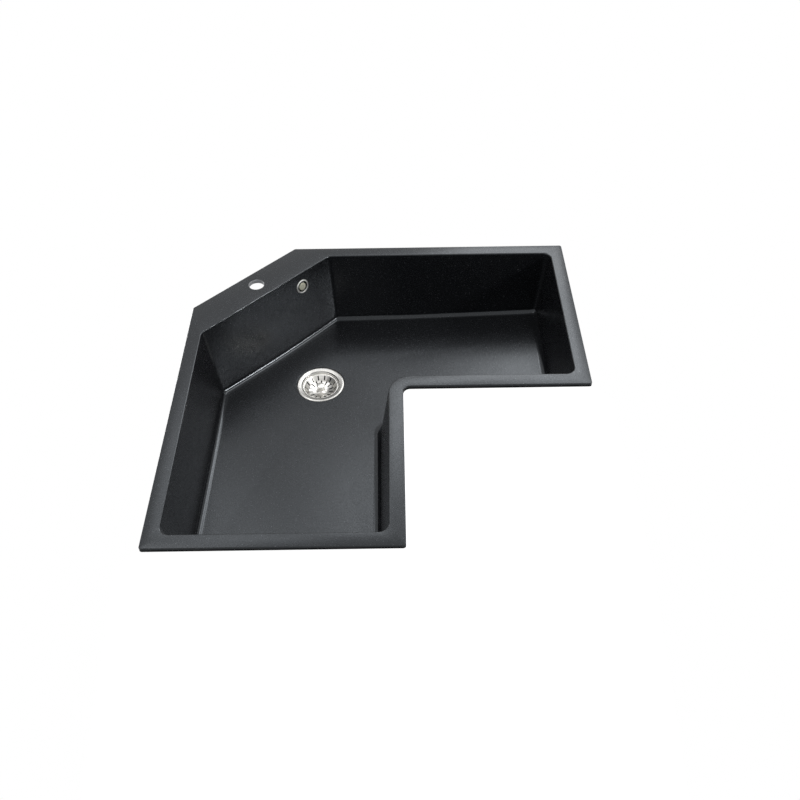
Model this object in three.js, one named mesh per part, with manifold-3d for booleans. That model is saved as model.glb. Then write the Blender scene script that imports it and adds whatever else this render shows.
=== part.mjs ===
// Corner kitchen sink: an L-shaped inset bowl moulded in one piece from dark granite composite, with a tap
// deck across its cut-off rear corner, a basket strainer waste, a round overflow piped down to the waste,
// and eight swinging clamps that pull the rim down on to the worktop.
//
// Millimetres, +Z up. z = 0 is the worktop, so the rim lies above it and the bowl hangs below it. +X runs
// along the right arm and +Y runs to the back. The plan is drawn in a square with its front left corner at
// 0, 0, and the finished group is moved so that the origin is on the rear worktop seat.
import * as THREE from "three";
import { mergeVertices } from "three/addons/utils/BufferGeometryUtils.js";
import Module from "manifold-3d";

const wasm = await Module();
wasm.setup();

// ---------------------------------------------------------------- driving dimensions

// Plan of the rim
const OVERALL = 860; // side of the square that the rim fills
const ARM_WIDTH = 470; // each arm, over the rim
const REAR_CUT = 214; // how much of each side the cut-off rear corner takes
const RIM_CORNER = 5; // plan radius at the rim's outer corners
const KNEE_CORNER = 15; // plan radius of the rim at the knee, where the user stands

// Section of the rim and the bowl
const RIM_THICK = 10;
const RIM_WIDTH = 30; // from the rim's outer edge to the bowl's mouth
const DECK_WIDTH = 81; // the same, on the tap deck
const RIM_EDGE = 1.5; // rounding of the rim's upper outer edge
const MOUTH_EDGE = 2.5; // rounding of the bowl's mouth
const BOWL_DEPTH = 190; // rim top to the floor at the waste
const FLOOR_FALL = 0.04; // rise of the floor for each millimetre away from the waste
const DRAFT = 0.12; // how far the walls lean in for each millimetre down
const WALL = 9;
const FLOOR_THICK = 10;
const MOUTH_CORNER = 20; // plan radius in the bowl's corners at the mouth
const FLOOR_CORNER = 11; // and at the floor
const MOUTH_KNEE = 45; // plan radius of the bowl round the knee at the mouth
const FLOOR_KNEE = 32; // and at the floor
const FLOOR_FILLET = 13; // reach of the hollow between wall and floor
const SEAT_INSET = 8; // middle of the strip of rim that lies on the worktop

// Waste
const DRAIN_FROM_DECK = 239; // waste centre from the rim's rear edge, along the line of symmetry
const DRAIN_BORE_R = 46.5; // hole in the bowl's floor
const FLANGE_R = 56;
const FLANGE_SINK = 0.3; // how far the flange lies below the floor round it
const SHEET = 1.2; // pressed steel of the strainer cup
const FLANGE_LAND = 6; // flat part of the flange
const FLANGE_SLOPE = 6; // and the part inside it that slopes into the cup
const FLANGE_DIP = 2.5;
const FLANGE_BEND_R = 2;
const CUP_MOUTH_R = 42.5;
const CUP_DEPTH = 38;
const CUP_FOOT_R = 33;
const CUP_FOOT_BEND_R = 4;
const SHOULDER_DROP = 8.5; // step in the cup under the basket's lip
const SHOULDER_WIDE = 2.5;
const GASKET_THICK = 1.5;
const GASKET_WIDE = 5;
const PAD_R = 62; // thick ring moulded under the floor round the waste
const PAD_DROP = 14;
const LOWER_GASKET_THICK = 3;
const OUTLET_SLOTS = 4; // openings in the foot of the cup
const OUTLET_SLOT_IN = 11;
const OUTLET_SLOT_OUT = 21;
const OUTLET_SLOT_TURN = 1.15; // radians taken by each opening

// Drain body under the bowl
const BODY_FLANGE_R = 60;
const BODY_FLANGE_THICK = 5;
const BODY_WALL = 3;
const BODY_BORE_R = 45;
const BODY_TAPER = 6; // how much the chamber narrows before its cone
const BODY_DROP = 56; // top of the body to the start of the outlet
const CHAMBER_SHARE = 0.78; // share of that drop that lies above the cone
const OUTLET_BORE_R = 19;
const OUTLET_R = 23.5; // 1 1/2 inch pipe thread, over its crests
const OUTLET_LENGTH = 36;
const SPIDER_ARMS = 3;
const SPIDER_ARM_WIDE = 6;
const SPIDER_ARM_TALL = 9;
const SPIDER_BOSS_R = 8;
const SPIDER_BOSS_TALL = 16;
const INLET_DROP = 40; // top of the body to the middle of the overflow inlet
const INLET_REACH = 66; // end of the inlet from the waste's axis

// Screws, all metric
const M6_R = 3;
const M5_R = 2.5;
const M4_R = 2;
const CUP_SCREW_LENGTH = 16;

// Pan head, as multiples of the thread's radius, and its crown as shares of the head
const PAN_HEAD_R = 2;
const PAN_HEAD_TALL = 1.15;
const PAN_CROWN_R = 0.75;
const PAN_CROWN_START = 0.5;

// Basket
const BASKET_SHEET = 1;
const BASKET_LIP_R = 41.8;
const BASKET_LIP_WIDE = 3.2;
const BASKET_KNUCKLE_R = 29; // where the wall turns into the floor
const BASKET_KNUCKLE_RISE = 4;
const BASKET_BEND_R = 5;
const BASKET_DISH_R = 15; // where the floor becomes level
const STOPPER_R = 27;
const STOPPER_TALL = 12;
const STOPPER_LIP = 4;
const STOPPER_DISC = 3;
const STOPPER_EDGE = 2;
const STEM_NUT_FLATS = 10;
const STEM_NUT_TALL = 3.5;
const SLOTS_IN_ROW = 14;
const SLOT_WIDE = 2.6;
const WALL_SLOT_LONG = 9;
const FLOOR_SLOT_LONG = 9;
const KNOB_R = 9.5;
const KNOB_TALL = 20;
const STEM_SHARE = 0.5; // share of the knob's height that the stem goes into
// Outline of the knob from its foot up, as shares of its radius and of its height
const KNOB_OUTLINE = [
  [1.1, 0],
  [1.1, 0.075],
  [0.61, 0.175],
  [0.55, 0.5],
  [0.8, 0.68],
  [1, 0.75],
  [1, 0.9],
  [0.8, 0.97],
  [0.35, 1],
];

// Tap hole and overflow
const TAP_HOLE_R = 17.5;
const TAP_HOLE_SETBACK = 39; // hole centre from the rim's rear edge
const OVERFLOW_SIDE = 96.5; // overflow centre from the line of symmetry
const OVERFLOW_DROP = 36; // and below the rim's top
const OVERFLOW_BORE_R = 15;
const OVERFLOW_RING_R = 17.5;
const OVERFLOW_MOUTH_R = 12.9;
const RING_THICK = 1.6;
const RING_EDGE = 0.5; // lean of the ring's outer edge
const RING_CREST = 2; // ring's outer edge to its crest
const RING_LIP = 1; // rounding of its inner edge
const RING_SHOULDER = 0.7; // height of the outer and inner shoulders, as a share of the ring's
const HUB_R = 5.5; // in the middle of the ring, where the big screw pulls
const HUB_SINK = 5;
const HUB_THICK = 3;
const HUB_ARMS = 3;
const HUB_ARM_WIDE = 2.4;
const OVERFLOW_HEAD_R = 10.6; // big screw head in the middle of the ring
const OVERFLOW_HEAD_RISE = 1.2; // its face from the wall's
const OVERFLOW_HEAD_THICK = 1.6;
const OVERFLOW_HEAD_EDGE = 0.5;
const OVERFLOW_NECK_R = 4.3;
const OVERFLOW_NECK_FLARE = 1;
const ELBOW_R = 23;
const ELBOW_FLANGE_WIDE = 3;
const ELBOW_FLANGE_THICK = 3;
const ELBOW_DEEP = 35;
const ELBOW_EDGE = 2; // chamfer round its back
const ELBOW_WALL = 2.6;
const POST_R = 5; // middle post that the big screw goes into
const POST_SINK = 4; // top of the post from the elbow's face
const SPOUT_LENGTH = 35; // elbow centre to the end of its spout

// Overflow hose
const HOSE_RIB_R = 12;
const HOSE_ROOT_R = 10.2;
const HOSE_BORE_R = 8.8;
const RIB_PITCH = 5.5;
const CUFF_LENGTH = 12; // plain ends of the hose
const COLLAR_R = 12.4;
const COLLAR_THICK = 2.5;
const SPIGOT_R = 13; // threaded ends that the hose nuts screw on to
const SPIGOT_BORE_R = 9.5;
const HOSE_FALL = 176; // pull of the elbow's spout on the hose's curve
const HOSE_LEVEL = 78; // and of the drain body's inlet
const HOSE_NUT_R = 17;
const HOSE_NUT_TALL = 18;
const HOSE_NUT_LIP = 3;
const HOSE_WASHER_THICK = 2;
const NUT_FLUTES = 12;
const FLUTE_DEEP = 1.6;

// Clamps
const LUG_WIDE = 20;
const LUG_TALL = 30;
const LUG_INSET = 12.5; // outer face of the lug from the rim's edge
const SCREW_INSET = 18.5; // clamp screw from the rim's edge
const CLAMP_SCREW_LENGTH = 16;
const INSERT_R = 3.8; // threaded insert in the lug
const INSERT_TALL = 12;
const ARM_SHEET = 2.5;
const ARM_WIDE = 12;
const ARM_REACH = 46; // pivot to the tip of the jaw
const WORKTOP = 38; // thickest worktop that the jaws pass under
const JAW_TALL = 6;
const JAW_SLOPE = 7; // run of the step between the pivot end and the jaw

// Clearances
const SEAT_GAP = 0.3; // between faces that bear on each other
const RUN_GAP = 0.3; // round a screw, a stem or a sleeve
const OVERCUT = 1; // how far a cutter runs past the face that it opens, or an arm into what it joins

// Fineness of curves
const CORNER_STEPS = 4; // facets in a right-angled corner
const RUN_STEPS = 4; // facets along each straight side
const FILLET_STEPS = 3;
const EDGE_STEPS = 2; // facets in a rounded edge
const BEND_STEPS = 2; // facets in a bend of pressed sheet
const TURN_STEPS = 36; // facets round the waste
const MIDDLE_TURN_STEPS = 24; // round the overflow and the nuts
const SMALL_TURN_STEPS = 12; // and round screws and stems
const HOSE_SIDES = 8;

// ---------------------------------------------------------------- derived places

const RIM_TOP = RIM_THICK;
const FLOOR_APEX_Z = RIM_TOP - BOWL_DEPTH;
const HALF = Math.SQRT1_2;
const IN = new THREE.Vector2(HALF, -HALF); // from the deck's edge into the bowl, along the symmetry line
const ALONG = new THREE.Vector2(HALF, HALF); // along the deck, towards the back
const DECK_MIDDLE = new THREE.Vector2(REAR_CUT / 2, OVERALL - REAR_CUT / 2);

// The plan point that lies `inward` from the middle of the deck's rear edge and `along` beside it.
function fromDeck(inward, along = 0) {
  return DECK_MIDDLE.clone().addScaledVector(IN, inward).addScaledVector(ALONG, along);
}
const DRAIN = fromDeck(DRAIN_FROM_DECK);
const ORIGIN = fromDeck(SEAT_INSET);

const FLANGE_TOP = FLOOR_APEX_Z + FLOOR_FALL * FLANGE_R - FLANGE_SINK;
const GASKET_TOP = FLANGE_TOP - SHEET - SEAT_GAP;
const DRAIN_SEAT = GASKET_TOP - GASKET_THICK - SEAT_GAP;
const PAD_UNDER = FLOOR_APEX_Z - PAD_DROP;
const BODY_TOP = PAD_UNDER - LOWER_GASKET_THICK - 2 * SEAT_GAP;
const CUP_UNDER = FLANGE_TOP - CUP_DEPTH;
const CUP_FLOOR = CUP_UNDER + SHEET;
const INLET_Z = BODY_TOP - INLET_DROP;

// ---------------------------------------------------------------- materials

function finish(color, roughness, metalness) {
  return new THREE.MeshStandardMaterial({ color, roughness, metalness });
}
const granite = finish(0x2b2c2e, 0.5, 0);
const steel = finish(0xc9c7c2, 0.28, 1);
const satinSteel = finish(0xa3a296, 0.45, 1);
const rubber = finish(0x1b1b1c, 0.8, 0);
const plastic = finish(0xd6d7d4, 0.45, 0);
const zincSteel = finish(0x9fa2a4, 0.4, 1);
const brass = finish(0xb89a55, 0.35, 1);

// ---------------------------------------------------------------- solids

// A closed geometry as a solid that can be cut and joined.
function solidOf(geometry) {
  const bare = geometry.index ? geometry.clone() : mergeVertices(geometry);
  bare.deleteAttribute("normal");
  bare.deleteAttribute("uv");
  const merged = mergeVertices(bare, 1e-4);
  return new wasm.Manifold(
    new wasm.Mesh({
      numProp: 3,
      vertProperties: new Float32Array(merged.attributes.position.array),
      triVerts: new Uint32Array(merged.index.array),
    }),
  );
}

function geometryOf(solid) {
  const mesh = solid.getMesh();
  return new THREE.BufferGeometry()
    .setAttribute("position", new THREE.BufferAttribute(mesh.vertProperties, mesh.numProp))
    .setIndex(new THREE.BufferAttribute(mesh.triVerts, 1));
}

function join(...solids) {
  return solids.reduce((all, one) => all.add(one));
}

function cut(solid, ...cutters) {
  return cutters.reduce((rest, one) => rest.subtract(one), solid);
}

// A profile of [radius, z] pairs, anticlockwise in the half plane, turned about the Z axis.
function turned(profile, steps = SMALL_TURN_STEPS) {
  const points = profile.map(([r, z]) => new THREE.Vector2(r, z));
  const [first, last] = [points[0], points.at(-1)];
  if (first.x > 0 || last.x > 0) points.push(first.clone());
  return solidOf(new THREE.LatheGeometry(points, steps).rotateX(Math.PI / 2));
}

function rod(radius, low, high, steps = SMALL_TURN_STEPS) {
  return turned([[0, low], [radius, low], [radius, high], [0, high]], steps);
}

function tube(bore, radius, low, high, steps = SMALL_TURN_STEPS) {
  return turned([[bore, low], [radius, low], [radius, high], [bore, high]], steps);
}

// A flat shape raised from z = low to z = high.
function raised(shape, low, high, curveSegments = 4) {
  const depth = high - low;
  return solidOf(
    new THREE.ExtrudeGeometry(shape, { depth, bevelEnabled: false, curveSegments }).translate(0, 0, low),
  );
}

function rectangle(x0, y0, x1, y1) {
  return new THREE.Shape().moveTo(x0, y0).lineTo(x1, y0).lineTo(x1, y1).lineTo(x0, y1).closePath();
}

// A solid moved by a matrix: turn first, then place.
function placed(solid, matrix) {
  return solid.transform(matrix.elements);
}

function at(x, y, z = 0) {
  return new THREE.Matrix4().makeTranslation(x, y, z);
}

function spun(angle) {
  return new THREE.Matrix4().makeRotationZ(angle);
}

function named(name, solid, material) {
  const mesh = new THREE.Mesh(geometryOf(solid), material);
  mesh.name = name;
  return mesh;
}

// ---------------------------------------------------------------- pressed sheet

// Rounds each corner of a section given as [r, z, bend radius] triples.
function bentLine(corners) {
  const path = new THREE.Path();
  corners.forEach(([r, z, bend = 0], i) => {
    const here = new THREE.Vector2(r, z);
    if (i === 0) {
      path.moveTo(r, z);
      return;
    }
    const before = new THREE.Vector2(...corners[i - 1]);
    if (!bend || i === corners.length - 1) {
      path.lineTo(r, z);
      return;
    }
    const after = new THREE.Vector2(...corners[i + 1]);
    const back = before.sub(here).normalize();
    const on = after.sub(here).normalize();
    const reach = bend / Math.tan(back.angleTo(on) / 2);
    const start = here.clone().addScaledVector(back, reach);
    const end = here.clone().addScaledVector(on, reach);
    path.lineTo(start.x, start.y);
    path.quadraticCurveTo(r, z, end.x, end.y);
  });
  return path.getPoints(BEND_STEPS);
}

// Sheet of even thickness turned about Z. The line is its upper, inner face, from the rim to the middle.
function pressed(corners, thick, steps) {
  const line = bentLine(corners).filter((p, i, all) => i === 0 || p.distanceTo(all[i - 1]) > 1e-6);
  const under = line.map((p, i) => {
    const from = line[Math.max(i - 1, 0)];
    const to = line[Math.min(i + 1, line.length - 1)];
    const run = to.clone().sub(from).normalize();
    return p.clone().add(new THREE.Vector2(-run.y, run.x).multiplyScalar(thick));
  });
  const section = [...line, ...under.reverse()];
  return turned(section.map((p) => [p.x, p.y]), steps);
}

// ---------------------------------------------------------------- plan outlines

// The rim's corners, anticlockwise from the front left. A side runs from each corner to the next, and
// the side that starts at DECK_START carries the tap deck.
const CORNERS = [
  [0, 0],
  [ARM_WIDTH, 0],
  [ARM_WIDTH, OVERALL - ARM_WIDTH],
  [OVERALL, OVERALL - ARM_WIDTH],
  [OVERALL, OVERALL],
  [REAR_CUT, OVERALL],
  [0, OVERALL - REAR_CUT],
].map(([x, y]) => new THREE.Vector2(x, y));
const [FRONT_LEFT, FRONT_RIGHT, KNEE, ARM_FRONT, REAR_RIGHT, DECK_START, DECK_END] = CORNERS;

function side(index) {
  const start = CORNERS[index % CORNERS.length];
  const run = CORNERS[(index + 1) % CORNERS.length].clone().sub(start);
  const along = run.clone().normalize();
  return { start, along, length: run.length(), inward: new THREE.Vector2(-along.y, along.x) };
}

// The corner where two sides meet after each has moved inwards by its own inset.
function insetCorner(index, inset) {
  const before = side(index + CORNERS.length - 1);
  const after = side(index);
  const p = before.start.clone().addScaledVector(before.inward, inset(before));
  const q = after.start.clone().addScaledVector(after.inward, inset(after));
  const gap = q.sub(p);
  const travel = gap.cross(after.along) / before.along.cross(after.along);
  return p.addScaledVector(before.along, travel);
}

// Points round the plan at an inset, with rounded corners. Every outline has the same count of points,
// and points of the same place in two outlines lie opposite each other, so outlines can be skinned.
function outline({ inset, deckInset = inset, corner, knee }) {
  const insetOf = (s) => (s.start === DECK_START ? deckInset : inset);
  const arcs = CORNERS.map((_, i) => {
    const tip = insetCorner(i, insetOf);
    const before = side(i + CORNERS.length - 1).along;
    const after = side(i).along;
    const turn = Math.atan2(before.cross(after), before.dot(after));
    const radius = CORNERS[i] === KNEE ? knee : corner;
    const reach = radius * Math.tan(Math.abs(turn) / 2);
    const start = tip.clone().addScaledVector(before, -reach);
    const toCentre = new THREE.Vector2(-before.y, before.x).multiplyScalar(Math.sign(turn) * radius);
    const centre = start.clone().add(toCentre);
    const steps = Math.round((CORNER_STEPS * Math.abs(turn)) / (Math.PI / 2));
    const step = turn / steps;
    return Array.from({ length: steps + 1 }, (_, k) => start.clone().rotateAround(centre, k * step));
  });
  return arcs.flatMap((arc, i) => {
    const end = arc.at(-1);
    const next = arcs[(i + 1) % arcs.length][0];
    const stops = Array.from({ length: RUN_STEPS - 1 }, (_, k) => (k + 1) / RUN_STEPS);
    return [...arc, ...stops.map((share) => end.clone().lerp(next, share))];
  });
}

// Skins a stack of equal rings from the top down. The top is closed flat, and the foot by a fan of faces
// that meet at one point.
function skinned(rings, foot) {
  const count = rings[0].length;
  const points = [...rings.flat(), foot];
  const last = rings.length - 1;
  const faces = THREE.ShapeUtils.triangulateShape(rings[0], []).flat();
  rings.slice(1).forEach((_, j) => {
    for (let i = 0; i < count; i++) {
      const [a, b] = [j * count + i, j * count + ((i + 1) % count)];
      faces.push(a, a + count, b, b, a + count, b + count);
    }
  });
  for (let i = 0; i < count; i++) {
    faces.push(points.length - 1, last * count + ((i + 1) % count), last * count + i);
  }
  const geometry = new THREE.BufferGeometry().setFromPoints(points).setIndex(faces);
  return solidOf(geometry);
}

function level(plan, z) {
  return plan.map((p) => new THREE.Vector3(p.x, p.y, z));
}

// ---------------------------------------------------------------- bowl

// Height of the bowl's floor at a plan point: it falls evenly towards the waste from all round.
function floorZ(p) {
  return FLOOR_APEX_Z + FLOOR_FALL * DRAIN.distanceTo(p);
}

// Plan outline of the bowl's inner wall face at a height, moved inwards by `extra`.
function wallOutline(z, extra = 0) {
  const down = RIM_TOP - z;
  const lean = DRAFT * down + extra;
  const share = Math.min(down / BOWL_DEPTH, 1);
  return outline({
    inset: RIM_WIDTH + lean,
    deckInset: DECK_WIDTH + lean,
    corner: THREE.MathUtils.lerp(MOUTH_CORNER, FLOOR_CORNER, share),
    knee: THREE.MathUtils.lerp(MOUTH_KNEE, FLOOR_KNEE, share),
  });
}

// Rings of a drafted wall that turns into a floor through a hollow of the given reach. `offset` moves the
// wall outwards and `drop` lowers the floor, which together give the bowl's outer face.
function wallAndFloor(top, reach, offset, drop) {
  const floorAt = (p) => floorZ(p) - drop;
  const shallow = RIM_TOP - BOWL_DEPTH / 2;
  const upper = wallOutline(shallow, -offset);
  const lower = wallOutline(FLOOR_APEX_Z, -offset);
  const inner = wallOutline(FLOOR_APEX_Z, reach - offset);
  const wallPoint = (i, z) => {
    const share = (shallow - z) / (shallow - FLOOR_APEX_Z);
    const p = upper[i].clone().lerp(lower[i], share);
    return new THREE.Vector3(p.x, p.y, z);
  };
  const sections = upper.map((_, i) => {
    const corner = wallPoint(i, floorAt(lower[i]));
    const onWall = wallPoint(i, corner.z + reach);
    const onFloor = new THREE.Vector3(inner[i].x, inner[i].y, floorAt(inner[i]));
    return new THREE.QuadraticBezierCurve3(onWall, corner, onFloor).getPoints(FILLET_STEPS);
  });
  const hollow = sections[0].map((_, k) => sections.map((points) => points[k]));
  return [...top, ...hollow];
}

// Turns for the rings of a rounded edge, from none to a right angle.
function edgeTurns() {
  return Array.from({ length: EDGE_STEPS + 1 }, (_, k) => (k * Math.PI) / (2 * EDGE_STEPS));
}

function bowlCavity() {
  const mouth = edgeTurns().map((turn) => {
    const back = MOUTH_EDGE * (1 - Math.sin(turn));
    const down = MOUTH_EDGE * (1 - Math.cos(turn));
    return level(wallOutline(RIM_TOP, DRAFT * MOUTH_EDGE - back), RIM_TOP - down);
  });
  const above = mouth[0].map((p) => p.clone().setZ(RIM_TOP + OVERCUT));
  const foot = new THREE.Vector3(DRAIN.x, DRAIN.y, FLOOR_APEX_Z);
  return skinned(wallAndFloor([above, ...mouth], FLOOR_FILLET, 0, 0), foot);
}

function bowlOutside() {
  const rim = (inset, z) => {
    return level(outline({ inset, corner: RIM_CORNER - inset, knee: KNEE_CORNER + inset }), z);
  };
  const edge = edgeTurns().map((turn) => {
    return rim(RIM_EDGE * (1 - Math.sin(turn)), RIM_TOP - RIM_EDGE * (1 - Math.cos(turn)));
  });
  const underEdge = RIM_EDGE / 2;
  const under = [rim(0, underEdge), rim(underEdge, 0), level(wallOutline(0, -WALL), 0)];
  const foot = new THREE.Vector3(DRAIN.x, DRAIN.y, FLOOR_APEX_Z - FLOOR_THICK);
  return skinned(wallAndFloor([...edge, ...under], FLOOR_FILLET + WALL / 2, WALL, FLOOR_THICK), foot);
}

// Turns a piece that is drawn with Y pointing into the bowl, so that it sits on the side of the plan
// that starts from a corner.
function onSide(corner, share) {
  const s = side(CORNERS.indexOf(corner));
  const p = s.start.clone().addScaledVector(s.along, s.length * share);
  return at(p.x, p.y).multiply(spun(Math.atan2(s.along.y, s.along.x)));
}

// Clamp stations, as the corner that a side starts from and the share of that side's length.
const CLAMP_STATIONS = [
  [FRONT_LEFT, 0.5],
  [FRONT_RIGHT, 0.45],
  [KNEE, 0.55],
  [ARM_FRONT, 0.5],
  [REAR_RIGHT, 0.3],
  [REAR_RIGHT, 0.74],
  [DECK_END, 0.24],
  [DECK_END, 0.74],
];

// A lug moulded on the bowl's wall just below the rim. A threaded insert sits in its foot.
function clampLug() {
  const block = rectangle(-LUG_WIDE / 2, LUG_INSET, LUG_WIDE / 2, RIM_WIDTH - WALL / 2);
  const socket = rod(INSERT_R + SEAT_GAP, -LUG_TALL - OVERCUT, -LUG_TALL + INSERT_TALL + SEAT_GAP);
  const tipRoom = rod(M4_R + RUN_GAP, -LUG_TALL, -LUG_TALL + CLAMP_SCREW_LENGTH);
  return cut(raised(block, -LUG_TALL, RIM_THICK / 2), placed(join(socket, tipRoom), at(0, SCREW_INSET)));
}

function sinkBowl() {
  const drainBore = rod(DRAIN_BORE_R, PAD_UNDER - OVERCUT, FLOOR_APEX_Z + OVERCUT, TURN_STEPS);
  const drainSeat = rod(FLANGE_R + 2 * SEAT_GAP, DRAIN_SEAT, RIM_TOP, TURN_STEPS);
  const pad = rod(PAD_R, PAD_UNDER, FLOOR_APEX_Z - FLOOR_THICK / 2, TURN_STEPS);
  const tapHole = rod(TAP_HOLE_R, -OVERCUT, RIM_TOP + OVERCUT, MIDDLE_TURN_STEPS);
  const overflowBore = rod(OVERFLOW_BORE_R, -2 * WALL, WALL, MIDDLE_TURN_STEPS);
  const lugs = CLAMP_STATIONS.map((station) => placed(clampLug(), onSide(...station)));
  const drainPlace = at(DRAIN.x, DRAIN.y);
  const tap = fromDeck(TAP_HOLE_SETBACK);
  const outside = join(bowlOutside(), placed(pad, drainPlace), ...lugs);
  return cut(
    outside,
    bowlCavity(),
    placed(drainBore, drainPlace),
    placed(drainSeat, drainPlace),
    placed(tapHole, at(tap.x, tap.y)),
    placed(overflowBore, overflowPlace()),
  );
}

// ---------------------------------------------------------------- strainer waste, about its own axis

// Pressed steel flange and cup. Its foot has openings round the middle screw.
function strainerCup() {
  const land = FLANGE_R - FLANGE_LAND;
  const shoulder = FLANGE_TOP - SHOULDER_DROP;
  const cup = pressed(
    [
      [FLANGE_R, FLANGE_TOP],
      [land, FLANGE_TOP],
      [land - FLANGE_SLOPE, FLANGE_TOP - FLANGE_DIP, FLANGE_BEND_R],
      [CUP_MOUTH_R, shoulder],
      [CUP_MOUTH_R - SHOULDER_WIDE, shoulder],
      [CUP_FOOT_R, CUP_FLOOR, CUP_FOOT_BEND_R],
      [M6_R + RUN_GAP, CUP_FLOOR],
    ],
    SHEET,
    TURN_STEPS,
  );
  const slot = new THREE.Shape();
  slot.absarc(0, 0, OUTLET_SLOT_OUT, 0, OUTLET_SLOT_TURN, false);
  slot.absarc(0, 0, OUTLET_SLOT_IN, OUTLET_SLOT_TURN, 0, true);
  const cutter = raised(slot, CUP_UNDER - OVERCUT, CUP_FLOOR + OVERCUT, 5);
  const step = (2 * Math.PI) / OUTLET_SLOTS;
  const slots = Array.from({ length: OUTLET_SLOTS }, (_, i) => placed(cutter, spun(i * step)));
  return cut(cup, ...slots);
}

function flangeGasket() {
  const radius = FLANGE_R - SEAT_GAP;
  return tube(radius - GASKET_WIDE, radius, GASKET_TOP - GASKET_THICK, GASKET_TOP, TURN_STEPS);
}

function lowerGasket() {
  const top = PAD_UNDER - SEAT_GAP;
  return tube(DRAIN_BORE_R + SEAT_GAP, BODY_FLANGE_R, top - LOWER_GASKET_THICK, top, TURN_STEPS);
}

// Direction of the overflow inlet, seen from the waste's axis.
const INLET_TURN = (() => {
  const elbow = overflowCentre().add(new THREE.Vector2().addScaledVector(IN, -WALL - ELBOW_DEEP / 2));
  return elbow.sub(DRAIN).angle();
})();

// Moulded body below the bowl: flange, tapering chamber, threaded outlet, side inlet from the overflow, and
// a three-armed spider that the cup's screw pulls on.
function drainBody() {
  const chamberFoot = BODY_TOP - BODY_DROP;
  const outletEnd = chamberFoot - OUTLET_LENGTH;
  const narrow = BODY_BORE_R - BODY_TAPER;
  const cone = BODY_TOP - BODY_DROP * CHAMBER_SHARE;
  const shell = turned(
    [
      [OUTLET_BORE_R, outletEnd],
      [OUTLET_R, outletEnd],
      [OUTLET_R, chamberFoot],
      [narrow + BODY_WALL, cone - BODY_WALL],
      [BODY_BORE_R + BODY_WALL, BODY_TOP - BODY_FLANGE_THICK * 2],
      [BODY_BORE_R + BODY_WALL, BODY_TOP - BODY_FLANGE_THICK],
      [BODY_FLANGE_R, BODY_TOP - BODY_FLANGE_THICK],
      [BODY_FLANGE_R, BODY_TOP],
      [BODY_BORE_R, BODY_TOP],
      [BODY_BORE_R, BODY_TOP - BODY_FLANGE_THICK * 2],
      [narrow, cone],
      [OUTLET_BORE_R, chamberFoot + BODY_WALL],
    ],
    TURN_STEPS,
  );
  const spiderTop = CUP_UNDER - SEAT_GAP;
  const spiderFoot = spiderTop - SPIDER_ARM_TALL;
  const boss = cut(
    rod(SPIDER_BOSS_R, spiderTop - SPIDER_BOSS_TALL, spiderTop),
    rod(M6_R + RUN_GAP, spiderTop - CUP_SCREW_LENGTH + SHEET, spiderTop + OVERCUT),
  );
  const armHalf = SPIDER_ARM_WIDE / 2;
  const armPlan = rectangle(SPIDER_BOSS_R - OVERCUT, -armHalf, BODY_BORE_R, armHalf);
  const arm = raised(armPlan, spiderFoot, spiderTop);
  const turn = (2 * Math.PI) / SPIDER_ARMS;
  const arms = Array.from({ length: SPIDER_ARMS }, (_, i) =>
    placed(arm, spun(INLET_TURN + turn * (i + 0.5))),
  );
  const lying = spun(INLET_TURN).multiply(new THREE.Matrix4().makeRotationY(Math.PI / 2));
  const inletPlace = at(0, 0, INLET_Z).multiply(lying);
  const pipe = placed(rod(SPIGOT_R, narrow, INLET_REACH), inletPlace);
  const bore = placed(rod(SPIGOT_BORE_R, OUTLET_BORE_R, INLET_REACH + OVERCUT), inletPlace);
  const hollow = rod(narrow - OVERCUT, cone, spiderTop + OVERCUT, TURN_STEPS);
  return join(cut(join(shell, cut(pipe, hollow)), bore), boss, ...arms);
}

// Pan head screw standing on z = seat, with its thread below.
function panScrew(threadR, length, seat) {
  const headR = threadR * PAN_HEAD_R;
  const headTall = threadR * PAN_HEAD_TALL;
  return turned([
    [0, seat - length],
    [threadR, seat - length],
    [threadR, seat],
    [headR, seat],
    [headR, seat + headTall * PAN_CROWN_START],
    [headR * PAN_CROWN_R, seat + headTall],
    [0, seat + headTall],
  ]);
}

// ---------------------------------------------------------------- basket, about the waste's axis

const STOPPER_FOOT = CUP_FLOOR + SEAT_GAP;
const STOPPER_TOP = STOPPER_FOOT + STOPPER_TALL;
const BASKET_FLOOR = STOPPER_TOP + SEAT_GAP + BASKET_SHEET;
const BASKET_LIP = FLANGE_TOP - SHOULDER_DROP + SEAT_GAP + BASKET_SHEET;

// Pressed basket that hangs by its lip on the cup's shoulder, with a row of radial slots in its wall and
// another in its dished floor.
function strainerBasket() {
  const brow = new THREE.Vector2(BASKET_LIP_R - BASKET_LIP_WIDE, BASKET_LIP);
  const knuckle = new THREE.Vector2(BASKET_KNUCKLE_R, BASKET_FLOOR + BASKET_KNUCKLE_RISE);
  const dish = new THREE.Vector2(BASKET_DISH_R, BASKET_FLOOR);
  const basket = pressed(
    [
      [BASKET_LIP_R, BASKET_LIP],
      [brow.x, brow.y],
      [knuckle.x, knuckle.y, BASKET_BEND_R],
      [dish.x, dish.y],
      [M6_R + RUN_GAP, BASKET_FLOOR],
    ],
    BASKET_SHEET,
    TURN_STEPS,
  );
  const wallRow = slotRow(brow, knuckle, WALL_SLOT_LONG, 0);
  const floorRow = slotRow(knuckle, dish, FLOOR_SLOT_LONG, 0.5);
  return cut(basket, ...wallRow, ...floorRow);
}

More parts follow.
